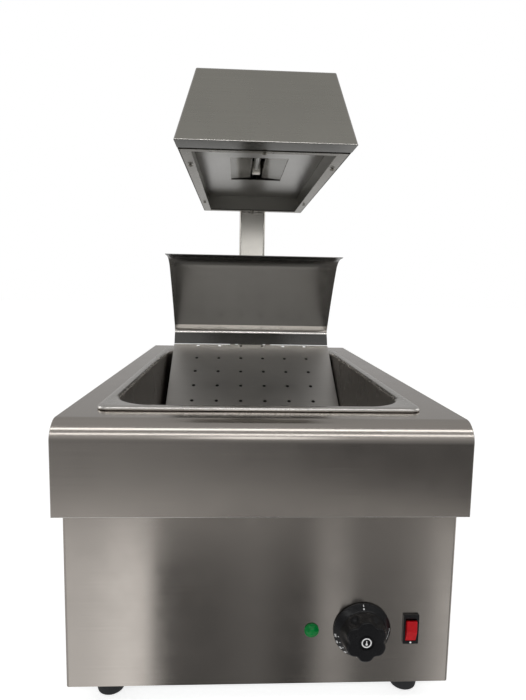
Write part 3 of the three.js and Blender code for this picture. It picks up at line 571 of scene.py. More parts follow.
shoulder_radius = product(screw_tree, given["Head radius"], 0.93)
crown_radius = product(screw_tree, given["Head radius"], 0.62)
lower_head = frustum(given["Head radius"], shoulder_radius, of_height(0.55))
upper_head = raised(frustum(shoulder_radius, crown_radius, of_height(0.46)), of_height(0.54))
shank = frustum(given["Shank radius"], given["Shank radius"], given["Shank length"])
shank = raised(raised(shank, product(screw_tree, given["Shank length"], -1.0)), of_height(0.3))
whole_screw = new_node(screw_tree, "GeometryNodeMeshBoolean", operation="UNION")
for part in (lower_head, upper_head, shank):
    screw_tree.links.new(part, whole_screw.inputs["Mesh 2"])
recess = new_node(screw_tree, "GeometryNodeMeshBoolean", operation="UNION")
for across, along in ((1.15, 0.2), (0.2, 1.15)):
    size = new_node(screw_tree, "ShaderNodeVectorMath", {"Scale": given["Head radius"]}, operation="SCALE")
    size.inputs[0].default_value = (across, along, 0.9)
    bar = new_node(screw_tree, "GeometryNodeMeshCube", {"Size": size.outputs[0]}).outputs["Mesh"]
    screw_tree.links.new(raised(bar, of_height(1.05)), recess.inputs["Mesh 2"])
driven = new_node(
    screw_tree,
    "GeometryNodeMeshBoolean",
    {"Mesh 1": whole_screw.outputs[0], "Mesh 2": recess.outputs[0]},
    operation="DIFFERENCE",
)
facing = new_node(screw_tree, "FunctionNodeEulerToRotation", {0: given["Turn"]}).outputs[0]
seated = {"Points": given["Geometry"], "Instance": driven.outputs[0], "Rotation": facing}
at_points = new_node(screw_tree, "GeometryNodeInstanceOnPoints", seated).outputs[0]
finished_tree(screw_tree, at_points, given, made)

zinc = spangled_steel("zinc_plate", (0.44, 0.42, 0.36), 0.30)
seat_gap = 0.3 * millimetre
tips = {"up": 0.0, "down": math.pi, "back": -math.pi / 2, "front": math.pi / 2}


def screws(name, nodes, facing_way, head, height, shank_size, length):
    """Screws in place of nodes, whose heads stand out to one side. Sizes are in millimetres."""
    points = []
    for node in nodes:
        low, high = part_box(node)
        middle = (low + high) / 2
        lift = height * millimetre
        seats = {
            "up": (middle.x, middle.y, high.z - lift),
            "down": (middle.x, middle.y, low.z + lift),
            "back": (middle.x, high.y - lift, middle.z),
            "front": (middle.x, low.y + lift, middle.z),
        }
        points.append(seats[facing_way])
    piece = grown(
        points_object(name, points),
        screw_tree,
        {
            "Head radius": head * millimetre,
            "Head height": height * millimetre,
            "Shank radius": shank_size * millimetre,
            "Shank length": length * millimetre,
            "Turn": (tips[facing_way], 0.0, 0.0),
            "Finish": zinc,
        },
    )
    smooth(piece, None, 30)
    fitted(piece, "cabinet", "zinc_screws", *nodes)


foot_nodes = [f"foot_screw_{end}_{hand}" for end in ("front", "rear") for hand in ("left", "right")]
screws("foot_screws", foot_nodes, "up", 5.0, 3.0, 2.4, 11.0)

# ---- Rear panel and its screws ----
# A flat brushed sheet with a stack of rounded vent slots and a round outlet for the supply cord.
slot_tree, given, made = new_tree(
    "cut slots",
    Float=["Width", "Height", "Corner", "Reach across", "Reach along"],
    Int=["Columns", "Rows"],
    Vector=["Middle", "Turn"],
    Material=["Finish"],
)
slot_sides = {"Width": given["Width"], "Height": given["Height"]}
slot_shape = new_node(slot_tree, "GeometryNodeCurvePrimitiveQuadrilateral", slot_sides).outputs[0]
slot_corners = {"Curve": slot_shape, "Radius": given["Corner"]}
slot_outline = new_node(slot_tree, "GeometryNodeFilletCurve", slot_corners, mode="POLY", Count=9).outputs[0]
punch_ends = {"Start": (0.0, 0.0, -2 * overshoot), "End": (0.0, 0.0, 2 * overshoot)}
punch_line = new_node(slot_tree, "GeometryNodeCurvePrimitiveLine", **punch_ends).outputs[0]
punch = new_node(slot_tree, "GeometryNodeCurveToMesh", {"Curve": punch_line, "Profile Curve": slot_outline})
punch.inputs["Fill Caps"].default_value = True
grid_sizes = {
    "Size X": given["Reach across"],
    "Size Y": given["Reach along"],
    "Vertices X": given["Columns"],
    "Vertices Y": given["Rows"],
}
grid = new_node(slot_tree, "GeometryNodeMeshGrid", grid_sizes).outputs[0]
punches = new_node(slot_tree, "GeometryNodeInstanceOnPoints", {"Points": grid, "Instance": punch.outputs[0]})
real_punches = new_node(slot_tree, "GeometryNodeRealizeInstances", {0: punches.outputs[0]}).outputs[0]
laid = {"Geometry": real_punches, "Translation": given["Middle"], "Rotation": given["Turn"]}
laid_punches = new_node(slot_tree, "GeometryNodeTransform", laid).outputs[0]
met = {"Mesh 1": given["Geometry"], "Mesh 2": laid_punches}
punched = new_node(slot_tree, "GeometryNodeMeshBoolean", met, operation="DIFFERENCE").outputs[0]
finished_tree(slot_tree, punched, given, made)

panel_low, panel_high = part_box("rear_panel")
panel_middle = (panel_low + panel_high) / 2
panel_outline = rectangle(panel_low.x, panel_low.z, panel_high.x, panel_high.z)
rear_panel = prism("rear_cover", panel_outline, "y", panel_low.y, panel_high.y)
outlet_x, outlet_z = -110 * millimetre, 62 * millimetre
outlet_hole = disc_outline(outlet_x, outlet_z, 8.2 * millimetre)
combined(rear_panel, [prism("hole", outlet_hole, "y", panel_low.y - overshoot, panel_high.y + overshoot)])
vent_rows = 7
vent_pitch = 14 * millimetre
vent_height = 164.5 * millimetre
grown(
    rear_panel,
    slot_tree,
    {
        "Width": 120 * millimetre,
        "Height": 5 * millimetre,
        "Corner": 2.45 * millimetre,
        "Columns": 1,
        "Rows": vent_rows,
        "Reach across": 0.0,
        "Reach along": (vent_rows - 1) * vent_pitch,
        "Middle": (0.0, panel_middle.y, vent_height),
        "Turn": (math.pi / 2, 0.0, 0.0),
        "Finish": cabinet_steel,
    },
)
smooth(rounded_edges(rear_panel, 0.15 * millimetre, 2, 60), cabinet_steel)
fitted(rear_panel, "cabinet", "brushed_steel", "rear_panel")
panel_nodes = [f"rear_panel_screw_{index}" for index in range(1, 5)]
screws("rear_panel_screws", panel_nodes, "back", 3.8, 2.4, 1.8, 1.4)

# ---- Cable gland ----
# A black nylon gland in the outlet: a ribbed nut over a domed collar that grips the cord.
black_nylon = moulded("black_nylon", (0.016, 0.016, 0.017), 0.46, 1800.0, 0.12)
gland_seat = panel_high.y
gland_profile = [
    (4.0, -8.0), (7.8, -8.0), (7.8, 0.3), (10.7, 0.3), (11.0, 0.7), (11.0, 5.6), (10.6, 6.0), (9.8, 6.4),
    (9.5, 8.0), (9.5, 13.0), (9.0, 14.4), (7.6, 15.6), (6.4, 16.0), (4.6, 16.0), (4.0, 15.4), (4.0, -8.0),
]
gland = turned("cord_gland", gland_profile, "y", (outlet_x, gland_seat, outlet_z), 72)
for vertex in gland.data.vertices:
    along = (vertex.co.y - gland_seat) / millimetre
    spoke = Vector((vertex.co.x - outlet_x, 0.0, vertex.co.z - outlet_z))
    if 0.6 < along < 5.7 and spoke.length > 10.5 * millimetre:
        ribs = 1 - 0.05 * (0.5 + 0.5 * math.cos(12 * math.atan2(spoke.z, spoke.x))) ** 2
        vertex.co.x = outlet_x + spoke.x * ribs
        vertex.co.z = outlet_z + spoke.z * ribs
smooth(gland, black_nylon)
fitted(gland, "cabinet", "black_plastic", "cable_gland")

# ---- Heat works inside the cabinet ----
# Tray and brackets of aluminised sheet, a sheathed element, a ceramic thermostat and its brass bulb.
painted(aluminised, "heat_tray", "tray_bracket_left", "tray_bracket_right")
painted(spangled_steel("element_sheath", (0.20, 0.18, 0.16), 0.48), "heating_element")
painted(spangled_steel("brass_bulb", (0.62, 0.45, 0.20), 0.32), "sensor_bulb")
white_ceramic = moulded("white_ceramic", (0.72, 0.69, 0.62), 0.62, 900.0, 0.2)
painted(white_ceramic, "thermostat_body")
painted(moulded("terminal_plastic", (0.66, 0.66, 0.63), 0.5, 900.0, 0.1), "terminal_block")

# ---- Countertop ----
# One brushed sheet with a rolled front edge over a deep apron. Its sides and back fold down into skirts with
# welded corners, and the pan's opening is cut out of it. The grain runs from side to side. Its broken edges
# take a paler steel, a painted highlight.
counter_low, counter_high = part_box("countertop")
counter_sheet = 1.5 * millimetre
nose_radius = 20 * millimetre
rear_radius = 3 * millimetre
apron_return = 11 * millimetre
skirt_height = 28 * millimetre
cap_depth = 15 * millimetre
counter_top, apron_foot = counter_high.z, counter_low.z
nose_line = arc((counter_low.y + nose_radius, counter_top - nose_radius), nose_radius, 180, 90, 40)
rear_line = arc((counter_high.y - rear_radius, counter_top - rear_radius), rear_radius, 90, 0, 10)
skirt_foot = counter_top - skirt_height
strip_line = [
    (counter_low.y + apron_return, apron_foot),
    (counter_low.y, apron_foot),
    *nose_line,
    *rear_line,
    (counter_high.y, skirt_foot),
]
half_width = counter_high.x
counter_work = bmesh.new()
edge_rows = []
for across in (-half_width, half_width):
    edge_rows.append([counter_work.verts.new((across, y, z)) for y, z in strip_line])
top_gap = 2 + len(nose_line) - 1  # the strip's step that is the flat top
for step in range(len(strip_line) - 1):
    if step != top_gap:
        (a, b), (c, d) = ((row[step], row[step + 1]) for row in edge_rows)
        counter_work.faces.new((a, b, d, c))
for row, across in zip(edge_rows, (-half_width, half_width)):
    inner_foot = counter_work.verts.new((across, counter_low.y + cap_depth, apron_foot))
    inner_corner = counter_work.verts.new((across, counter_low.y + cap_depth, skirt_foot))
    counter_work.faces.new([*row[1:], inner_corner, inner_foot])
pan_low, pan_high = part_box("food_pan")
opening_middle = (pan_low.y + pan_high.y) / 2
opening_half = (156 * millimetre, 258 * millimetre)
opening_radius = 46 * millimetre


def rounded_rectangle(half_x, half_y, radius, steps):
    """A rectangle round the origin whose corners are arcs."""
    corners = [
        (half_x - radius, radius - half_y, -90),
        (half_x - radius, half_y - radius, 0),
        (radius - half_x, half_y - radius, 90),
        (radius - half_x, radius - half_y, 180),
    ]
    return [point for x, y, start in corners for point in arc((x, y), radius, start, start + 90, steps)]


rim = [
    counter_work.verts.new((x, y + opening_middle, counter_top))
    for x, y in rounded_rectangle(*opening_half, opening_radius, 20)
]
rim_edges = [counter_work.edges.new((a, b)) for a, b in zip(rim, rim[1:] + rim[:1])]
left_row, right_row = edge_rows
outer_corners = [left_row[top_gap], right_row[top_gap], right_row[top_gap + 1], left_row[top_gap + 1]]
outer_edges = [
    counter_work.edges.get((a, b)) or counter_work.edges.new((a, b))
    for a, b in zip(outer_corners, outer_corners[1:] + outer_corners[:1])
]
bmesh.ops.triangle_fill(counter_work, use_beauty=True, edges=rim_edges + outer_edges)
bmesh.ops.recalc_face_normals(counter_work, faces=counter_work.faces)
if max(counter_work.faces, key=lambda face: face.calc_area()).normal.z < -0.5:
    bmesh.ops.reverse_faces(counter_work, faces=counter_work.faces)
counter_mesh = bpy.data.meshes.new("counter")
counter_work.to_mesh(counter_mesh)
counter_work.free()
counter = bpy.data.objects.new("counter", counter_mesh)
bpy.context.scene.collection.objects.link(counter)
counter_steel = brushed_steel("counter_steel", crosswise_grain, steel_tone, 0.21, 0.5)
# A paler copy of the steel: a painted highlight on broken edges, the pan's flange and the hood's folds.
painted_highlight_steel = brushed_steel("painted_highlight_steel", crosswise_grain, (0.80, 0.77, 0.73), 0.26, 0.0, 0.0)
counter.data.materials.append(counter_steel)
counter.data.materials.append(painted_highlight_steel)
rounded_edges(counter, 0.9 * millimetre, 4, 50, 1)
counter_wall = counter.modifiers.new("wall", "SOLIDIFY")
counter_wall.thickness = counter_sheet
counter_wall.offset = -1.0
counter_wall.use_even_offset = True
settled(counter)
smooth(counter, counter_steel, 40)
fitted(counter, "cabinet", "brushed_steel", "countertop")

# ---- Food pan ----
# A full-size deep pan, pressed from one sheet. Its rolled flange rests on the countertop, and drawing has
# left the walls satin, with wide corners.
pan_middle = (pan_low + pan_high) / 2
pan_depth = 150
pan_half = (162.5, 265.0)
# Each ring: how far inside the flange's outline it lies, its height over the countertop, its corner radius.
pan_rings = [
    (120.0, 4.3 - pan_depth, 20), (44.0, 4.6 - pan_depth, 27), (34.8, 5.0 - pan_depth, 30),
    (29.0, 5.6 - pan_depth, 35), (25.5, 7.0 - pan_depth, 38), (22.9, 10.0 - pan_depth, 41),
    (21.4, 14.0 - pan_depth, 43), (20.6, 22.0 - pan_depth, 44), (19.8, -110.0, 45), (16.8, -60.0, 48.5),
    (13.6, -12.0, 51.5), (13.0, -3.0, 52), (12.5, 0.2, 52.5), (11.6, 2.2, 53), (10.4, 3.6, 51),
    (8.6, 4.5, 48),
    (6.6, 4.75, 26), (4.6, 4.8, 17), (2.8, 4.65, 14.5), (1.4, 4.1, 13.5), (0.5, 3.2, 13), (0.1, 2.0, 12.6),
    (0.1, 0.5, 12.5), (0.9, 0.4, 12), (1.2, 0.6, 12), (1.25, 2.0, 12), (2.0, 3.0, 12.6), (3.4, 3.6, 14.5),
    (5.4, 3.7, 20), (8.2, 3.4, 49), (9.6, 2.6, 51), (10.6, 1.2, 53), (11.5, -1.0, 53), (12.0, -3.4, 53),
    (12.6, -12.0, 52.4), (15.8, -60.0, 49.4), (18.8, -110.0, 46), (19.6, 22.0 - pan_depth, 45),
    (20.4, 13.4 - pan_depth, 44), (22.0, 9.2 - pan_depth, 42), (24.7, 6.0 - pan_depth, 39),
    (28.4, 4.5 - pan_depth, 36), (34.6, 4.0 - pan_depth, 31), (44.0, 3.7 - pan_depth, 27),
    (120.0, 3.3 - pan_depth, 20),
]
corner_steps = 14
pan_outlines = []
for inset, height, radius in pan_rings:
    outline = rounded_rectangle(pan_half[0] - inset, pan_half[1] - inset, radius, corner_steps)
    level = height * millimetre + counter_top
    pan_outlines.append(
        [(x * millimetre + pan_middle.x, y * millimetre + pan_middle.y, level) for x, y in outline]
    )
deep_pan = lofted("deep_pan", pan_outlines)
pan_smoothing = deep_pan.modifiers.new("drawn", "SUBSURF")
pan_smoothing.levels = pan_smoothing.render_levels = 1
settled(deep_pan)
# The pan's steel is about half as bright as the countertop's: a painted shade for the dark inside of the pan.
shaded_pan_steel = brushed_steel("shaded_pan_steel", crosswise_grain, (0.3224, 0.2974, 0.2725), 0.28, 0.3)
deep_pan.data.materials.append(shaded_pan_steel)
deep_pan.data.materials.append(painted_highlight_steel)
# Faces on the flange's top take the paler steel: a painted highlight.
for face in deep_pan.data.polygons:
    if face.center.z > counter_top + 1.5 * millimetre and face.normal.z > -0.3:
        face.material_index = 1
smooth(deep_pan, shaded_pan_steel, 50)
fitted(deep_pan, "pan", "brushed_steel", "food_pan")

# ---- Ramp insert ----
# A perforated sheet that lies in the pan: a flat part with a turned-down foot, and a ramp up to the back.
insert_sheet = 1.2 * millimetre
slope = math.radians(28.3)
pan_front = pan_low.y
ramp_head = Vector((pan_front + 496 * millimetre, counter_top + 14 * millimetre))
ramp_floor = counter_top - 134.5 * millimetre
ramp_foot_y = ramp_head.x - (ramp_head.y - ramp_floor) / math.tan(slope)
ramp_front = pan_front + 62 * millimetre


def eased(points, radius, steps=6):
    """A line whose inner corners are rounded."""
    points = [Vector(point) for point in points]
    line = [points[0]]
    for before, corner, after in zip(points, points[1:], points[2:]):
        back = (before - corner).normalized()
        on = (after - corner).normalized()
        reach = radius / math.tan(back.angle(on) / 2)
        reach = min(reach, 0.45 * (before - corner).length, 0.45 * (after - corner).length)
        start, finish = corner + back * reach, corner + on * reach
        for step in range(steps + 1):
            share = step / steps
            line.append(start.lerp(corner, share).lerp(corner.lerp(finish, share), share))
    line.append(points[-1])
    return [tuple(point) for point in line]


ramp_line = eased(
    [
        (ramp_front, ramp_floor - 9 * millimetre),
        (ramp_front, ramp_floor),
        (ramp_foot_y, ramp_floor),
        tuple(ramp_head),
    ],
    4 * millimetre,
)
ramp_half = 145 * millimetre
foot_half = ramp_half - 0.05 * (ramp_head.y - ramp_floor)
lip_half = 124 * millimetre
far = 170 * millimetre  # past the sheet's sides
clear = 20 * millimetre  # past its top and its foot
ramp = prism("perforated_ramp", sheet_outline(ramp_line, insert_sheet), "x", -ramp_half, ramp_half)
ramp_cutters = []
for hand in (-1, 1):
    trim = [
        (hand * ramp_half, ramp_head.x + 2 * overshoot),
        (hand * ramp_half, ramp_head.x),
        (hand * foot_half, ramp_foot_y),
        (hand * foot_half, pan_front),
        (hand * far, pan_front),
        (hand * far, ramp_head.x + 2 * overshoot),
    ]
    ramp_cutters.append(prism("trim", trim, "z", ramp_floor - clear, ramp_head.y + clear))
    lip_top = ramp_floor - insert_sheet - 0.5 * millimetre
    lip = rectangle(hand * lip_half, ramp_floor - clear, hand * far, lip_top)
    ramp_cutters.append(prism("trim", lip, "y", pan_front, ramp_foot_y - clear))
combined(ramp, ramp_cutters)
hole_pitch = 40 * millimetre
hole_size = 6 * millimetre
hole_columns = 6
slope_rows, floor_rows = 7, 3
uphill = Vector((0.0, math.cos(slope), math.sin(slope)))
first_hole = Vector((0.0, ramp_head.x, ramp_head.y)) - uphill * 3.8 * millimetre
slope_middle = first_hole - uphill * hole_pitch * (slope_rows - 1) / 2
floor_middle = Vector((0.0, ramp_foot_y - 64 * millimetre, ramp_floor))
# The ramp's steel is much paler than the other steel: painted light on a ramp that mirrors dark parts.
painted_light_insert_steel = brushed_steel("painted_light_insert_steel", crosswise_grain, (0.88, 0.85, 0.81), 0.42, 0.3)
for rows, middle, tilt in ((slope_rows, slope_middle, slope), (floor_rows, floor_middle, 0.0)):
    grown(
        ramp,
        slot_tree,
        {
            "Width": hole_size,
            "Height": hole_size,
            "Corner": 0.499 * hole_size,  # a whole half would close up the sides of the square
            "Columns": hole_columns,
            "Rows": rows,
            "Reach across": (hole_columns - 1) * hole_pitch,
            "Reach along": (rows - 1) * hole_pitch,
            "Middle": tuple(middle),
            "Turn": (tilt, 0.0, 0.0),
            "Finish": painted_light_insert_steel,
        },
    )
smooth(ramp, painted_light_insert_steel, 35)
fitted(ramp, "insert", "brushed_steel", "ramp_insert")

# ---- Splash guard ----
# The same sheet, welded on at the head of the ramp. It rises to a tight fold, leans forward in a slow curve
# and ends in a lip that keeps fat off the server.
guard_low, guard_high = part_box("splash_guard")


def guard_point(along, up):
    """A place on the guard's side view: how far behind the pan's front edge, and over the countertop."""
    return Vector((pan_front + along * millimetre, counter_top + up * millimetre))


guard_foot = guard_point(496.6, 15)
fold = guard_point(508, 40)
lean_top = guard_point(424, 158)
lip_bend = guard_point(409, 170.5)
lip_tip = guard_point(368, 172.5)


def curve_between(start, pull, finish, steps):
    """Points of a curve that leaves its start and reaches its finish along lines through the pull."""
    shares = [step / steps for step in range(1, steps + 1)]
    return [start.lerp(pull, share).lerp(pull.lerp(finish, share), share) for share in shares]


fold_start = fold.lerp(guard_foot, 0.22)
fold_end = fold.lerp(lean_top, 0.045)
bow = fold.lerp(lean_top, 0.55) + Vector((5, 3)) * millimetre
lip_start = lip_bend.lerp(lip_tip, 0.5)
guard_line = [guard_foot, fold_start]
guard_line += curve_between(fold_start, fold, fold_end, 12)
guard_line += curve_between(fold_end, bow, lean_top, 24)
guard_line += curve_between(lean_top, lip_bend, lip_start, 16)
guard_line.append(lip_tip)
guard = prism("curved_guard", sheet_outline(guard_line, insert_sheet), "x", guard_low.x, guard_high.x)
# The guard's steel is near black: a painted shade for the dark reflections in its forward lean.
shaded_guard_steel = brushed_steel("shaded_guard_steel", crosswise_grain, (0.21, 0.208, 0.20), 0.20, 0.3)
# A pale steel for the band round the fold: a painted highlight along the bend.
painted_highlight_bend = brushed_steel("painted_highlight_bend", crosswise_grain, (0.85, 0.82, 0.78), 0.20, 0.0, 0.0)
rounded_edges(guard, 0.3 * millimetre, 2, 60)
guard.data.materials.append(shaded_guard_steel)
guard.data.materials.append(painted_highlight_bend)
bend_highlight_reach = 9 * millimetre
for face in guard.data.polygons:
    if abs(face.center.z - fold.y) < bend_highlight_reach:
        face.material_index = 1
smooth(guard, shaded_guard_steel, 40)
fitted(guard, "insert", "brushed_steel", "splash_guard")

# ---- Thermostat knob ----
# Black moulding in one piece: a sloping skirt printed with white numbers, and a six-lobed grip that is
# round at its root. A plain white cap ring fills its face, and the steel shaft is pressed in behind.
knob_plastic = moulded("knob_plastic", (0.006, 0.006, 0.007), 0.24, 1300.0, 0.05, 0.34)
skirt_profile = [
    (3.4, 0.6), (28.2, 0.6), (28.5, 0.9), (28.5, 1.9), (28.2, 2.4), (24.0, 6.4), (23.4, 6.8), (22.9, 7.2),
    (22.6, 8.6), (3.4, 8.6), (3.4, 0.6),
]
knob = turned("thermostat_knob", skirt_profile, "-y", (dial_x, shell_front, controls_height), 120)
# Each ring of the grip: distance from the cabinet, radius, depth of its flutes.
grip_rings = [
    (8.0, 22.7, 0.0), (9.0, 22.7, 0.0), (10.0, 22.5, 0.1), (12.0, 22.0, 0.9), (14.0, 21.5, 1.8),
    (16.0, 21.1, 2.5), (18.0, 20.8, 2.9), (19.6, 20.5, 3.1), (20.5, 20.0, 3.1), (21.0, 19.2, 3.0),
    (21.2, 18.2, 2.9), (21.2, 8.4, 0.0), (21.2, 7.4, 0.0), (20.2, 7.1, 0.0),
]
grip_steps = 144
lobes = 6
grip_outlines = []
for out, radius, flute in grip_rings:
    outline = []
    for step in range(grip_steps):
        angle = 2 * math.pi * step / grip_steps
        bite = (0.5 - 0.5 * math.cos(lobes * angle)) ** 2
        spread = (radius - flute * bite) * millimetre
        height = controls_height + spread * math.cos(angle)
        outline.append((dial_x + spread * math.sin(angle), shell_front - out * millimetre, height))
    grip_outlines.append(outline)
combined(knob, [lofted("grip", grip_outlines)], "UNION")
smooth(knob, knob_plastic, 45)
fitted(knob, "knob", "black_plastic", "control_knob")

white_print = moulded("white_print", (0.80, 0.80, 0.80), 0.45, 2000.0, 0.02)
print_height = 0.12 * millimetre
print_pieces = []
skirt_rise, skirt_run = 4.0, 4.2  # the slope between the profile's points at radius 28.2 and 24.0


def on_skirt(mesh, bearing, radius, turn):
    """Puts flat print on the sloping skirt: bearing clockwise from the top, radius on the skirt."""
    skirt_lean = math.atan2(skirt_rise, skirt_run)
    out = 2.4 + (28.2 - radius) * skirt_rise / skirt_run
    across, up = math.sin(bearing), math.cos(bearing)
    outward = Vector((across, 0.0, up))
    face = (outward * math.sin(skirt_lean) - Vector((0, math.cos(skirt_lean), 0))).normalized()
    upward = (outward * math.cos(skirt_lean) + Vector((0, math.sin(skirt_lean), 0))).normalized()
    rightward = upward.cross(face)
    basis = Matrix((rightward, upward, face)).transposed().to_4x4()
    at = Vector((dial_x, shell_front, controls_height)) + outward * radius * millimetre
    at += Vector((0, -out * millimetre, 0))
    mesh.transform(Matrix.Translation(at) @ basis @ Matrix.Rotation(turn, 4, "Z"))
    print_pieces.append(mesh)


def figure(text, size):
    """Raised figures as a mesh, with a size in millimetres."""
    curve = bpy.data.curves.new("figure", "FONT")
    curve.body = text
    curve.size = size * millimetre
    curve.align_x = "CENTER"
    curve.align_y = "CENTER"
    curve.extrude = print_height
    curve.offset = 0.08 * millimetre
    holder = bpy.data.objects.new("figure", curve)
    bpy.context.scene.collection.objects.link(holder)
    bpy.context.view_layer.update()
    graph = bpy.context.evaluated_depsgraph_get()
    mesh = bpy.data.meshes.new_from_object(holder.evaluated_get(graph), depsgraph=graph)
    bpy.data.objects.remove(holder)
    return mesh


def printed_block(half_x, half_y, sides):
    """A round dot, or a bar where it has four sides."""
    work = bmesh.new()
    if sides == 4:
        bmesh.ops.create_cube(work, size=2.0)
        work.transform(Matrix.Diagonal((half_x * millimetre, half_y * millimetre, print_height, 1.0)))
    else:
        radius = half_x * millimetre
        bmesh.ops.create_cone(
            work, cap_ends=True, segments=sides, radius1=radius, radius2=radius, depth=2 * print_height
        )
    mesh = bpy.data.meshes.new("printed")
    work.to_mesh(mesh)
    work.free()
    return mesh


on_skirt(printed_block(0.35, 1.0, 4), math.radians(0), 27.0, 0.0)
on_skirt(printed_block(0.9, 0.9, 20), math.radians(0), 24.8, 0.0)
numbers = [("30", -98), ("45", -113), ("60", -128), ("75", -143), ("90", -158), ("110", -174)]
for text, bearing in numbers:
    on_skirt(figure(text, 3.1), math.radians(bearing), 26.9, 0.0)
    on_skirt(printed_block(0.55, 0.55, 16), math.radians(bearing), 24.5, 0.0)
# A wedge of short strokes on the other side, each smaller than the one before.
for stroke in range(9):
    bearing = math.radians(84 + stroke * 2.6)
    block = printed_block(0.42 - 0.02 * stroke, 0.34, 4)
    on_skirt(block, bearing, 26.6 - 0.28 * stroke, math.radians(-stroke))
print_work = bmesh.new()
for mesh in print_pieces:
    print_work.from_mesh(mesh)
print_mesh = bpy.data.meshes.new("dial_print")
print_work.to_mesh(print_mesh)
print_work.free()
dial_print = tidy("dial_print", print_mesh)
smooth(dial_print, white_print, 30)
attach(dial_print, "knob")

cap_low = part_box("knob_cap")[0]
cap_out = (shell_front - cap_low.y) / millimetre
cap_disc_profile = [
    (0.2, cap_out - 1.0), (6.5, cap_out - 1.0), (6.5, cap_out - 0.25), (0.2, cap_out - 0.25),
]
cap_ring_profile = [
    (3.7, cap_out - 0.4), (4.8, cap_out - 0.4), (4.9, cap_out - 0.05), (4.8, cap_out), (3.8, cap_out),
    (3.7, cap_out - 0.4),
]
cap_centre = (dial_x, shell_front, controls_height)
cap_disc = turned("cap_disc", cap_disc_profile, "-y", cap_centre, 64)
smooth(cap_disc, knob_plastic)
fitted(cap_disc, "knob", "black_plastic", "knob_cap")
cap_ring = turned("cap_ring", cap_ring_profile, "-y", cap_centre, 64)
stem_half = 0.42 * millimetre
mark_thickness = 0.4 * millimetre
stem_low, stem_high = controls_height - 1.0 * millimetre, controls_height + 2.2 * millimetre
stem_outline = rectangle(dial_x - stem_half, stem_low, dial_x + stem_half, stem_high)
stem = prism("stem", stem_outline, "y", cap_low.y, cap_low.y + mark_thickness)
bulb_outline = disc_outline(dial_x, controls_height - 1.4 * millimetre, 1.1 * millimetre, 24)
bulb = prism("bulb", bulb_outline, "y", cap_low.y, cap_low.y + mark_thickness)
combined(cap_ring, [stem, bulb], "UNION")
smooth(cap_ring, white_print)
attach(cap_ring, "knob")
painted(zinc, "thermostat_shaft")

# ---- Indicator ----
# A green lens with a round foot and a six-sided faceted dome, snapped into its hole in the front.
def coloured_lens(name, deep, bright, roughness, glow):
    """Translucent moulded plastic: a deep colour that brightens in soft clouds, with a hard gloss."""
    material, tree, shader, place = new_material(name)
    cells = new_node(tree, "ShaderNodeTexVoronoi", {"Vector": place}, Scale=900.0).outputs["Distance"]
    cloud = noise(tree, place, 240.0, 3.0)
    tree.links.new(blend(tree, cloud, deep, bright), shader.inputs["Base Color"])
    uneven(tree, shader, cloud, roughness, roughness + 0.1)
    bumped(tree, shader, cells, 0.2, 0.0002)
    shader.inputs["Coat Weight"].default_value = 0.1
    shader.inputs["Specular IOR Level"].default_value = 0.25
    shader.inputs["Emission Color"].default_value = (*bright, 1.0)
    shader.inputs["Emission Strength"].default_value = glow
    return material


green_lens = coloured_lens("green_lens", (0.0, 0.06, 0.012), (0.0, 0.22, 0.040), 0.14, 0.10)
lens_centre = (indicator_x, shell_front, controls_height)
lens_profile = [(0.2, 0.3), (7.0, 0.3), (7.2, 0.6), (7.2, 1.1), (7.0, 1.4), (0.2, 1.4)]
lens = turned("indicator_foot", lens_profile, "-y", lens_centre, 48)
lens_dome = turned("dome", [(0.2, 1.2), (6.9, 1.2), (6.4, 2.0), (3.4, 4.2), (0.2, 4.8)], "-y", lens_centre, 6)
combined(lens, [lens_dome], "UNION")
smooth(rounded_edges(lens, 0.12 * millimetre, 2, 18), green_lens, 12)
fitted(lens, "cabinet", "green_lens", "indicator_lens")
painted(black_nylon, "indicator_body")

# ---- Rocker switch ----
# A glossy black housing with a rounded bezel and a deep well, a white dot under the well, and a red rocker
# with two faces that meet at a ridge. The lower end is pressed in.
housing_low, housing_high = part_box("switch_housing")
gloss_black = moulded("gloss_black", (0.008, 0.008, 0.009), 0.24, 1500.0, 0.05, 0.34)
bezel_half = (7.8 * millimetre, 15.3 * millimetre)
bezel_rise = 0.6 * millimetre
well_half = (5.5 * millimetre, 11.6 * millimetre)
barrel_half = (6.6 * millimetre, 13.7 * millimetre)
bezel_outline = [
    (x + switch_x, z + controls_height + bezel_rise)
    for x, z in rounded_rectangle(*bezel_half, 0.9 * millimetre, 6)
]
housing = prism("switch_bezel", bezel_outline, "y", housing_low.y, shell_front - seat_gap)
barrel_front = shell_front - 1 * millimetre
barrel_outline = box_outline(switch_x, controls_height, *barrel_half)
barrel = prism("barrel", barrel_outline, "y", barrel_front, housing_high.y)
combined(housing, [barrel], "UNION")
well_front, well_floor = shell_front - 5 * millimetre, shell_front + 9 * millimetre
well = prism("well", box_outline(switch_x, controls_height, *well_half), "y", well_front, well_floor)
combined(housing, [well])
smooth(rounded_edges(housing, 0.35 * millimetre, 3, 50), gloss_black, 35)
fitted(housing, "cabinet", "black_plastic", "switch_housing")
dot_outline = disc_outline(switch_x, controls_height - 13.1 * millimetre, 0.95 * millimetre, 24)
dot_back = housing_low.y + 0.2 * millimetre
switch_dot = prism("switch_dot", dot_outline, "y", housing_low.y - print_height, dot_back)
smooth(switch_dot, white_print)
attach(switch_dot, "cabinet")

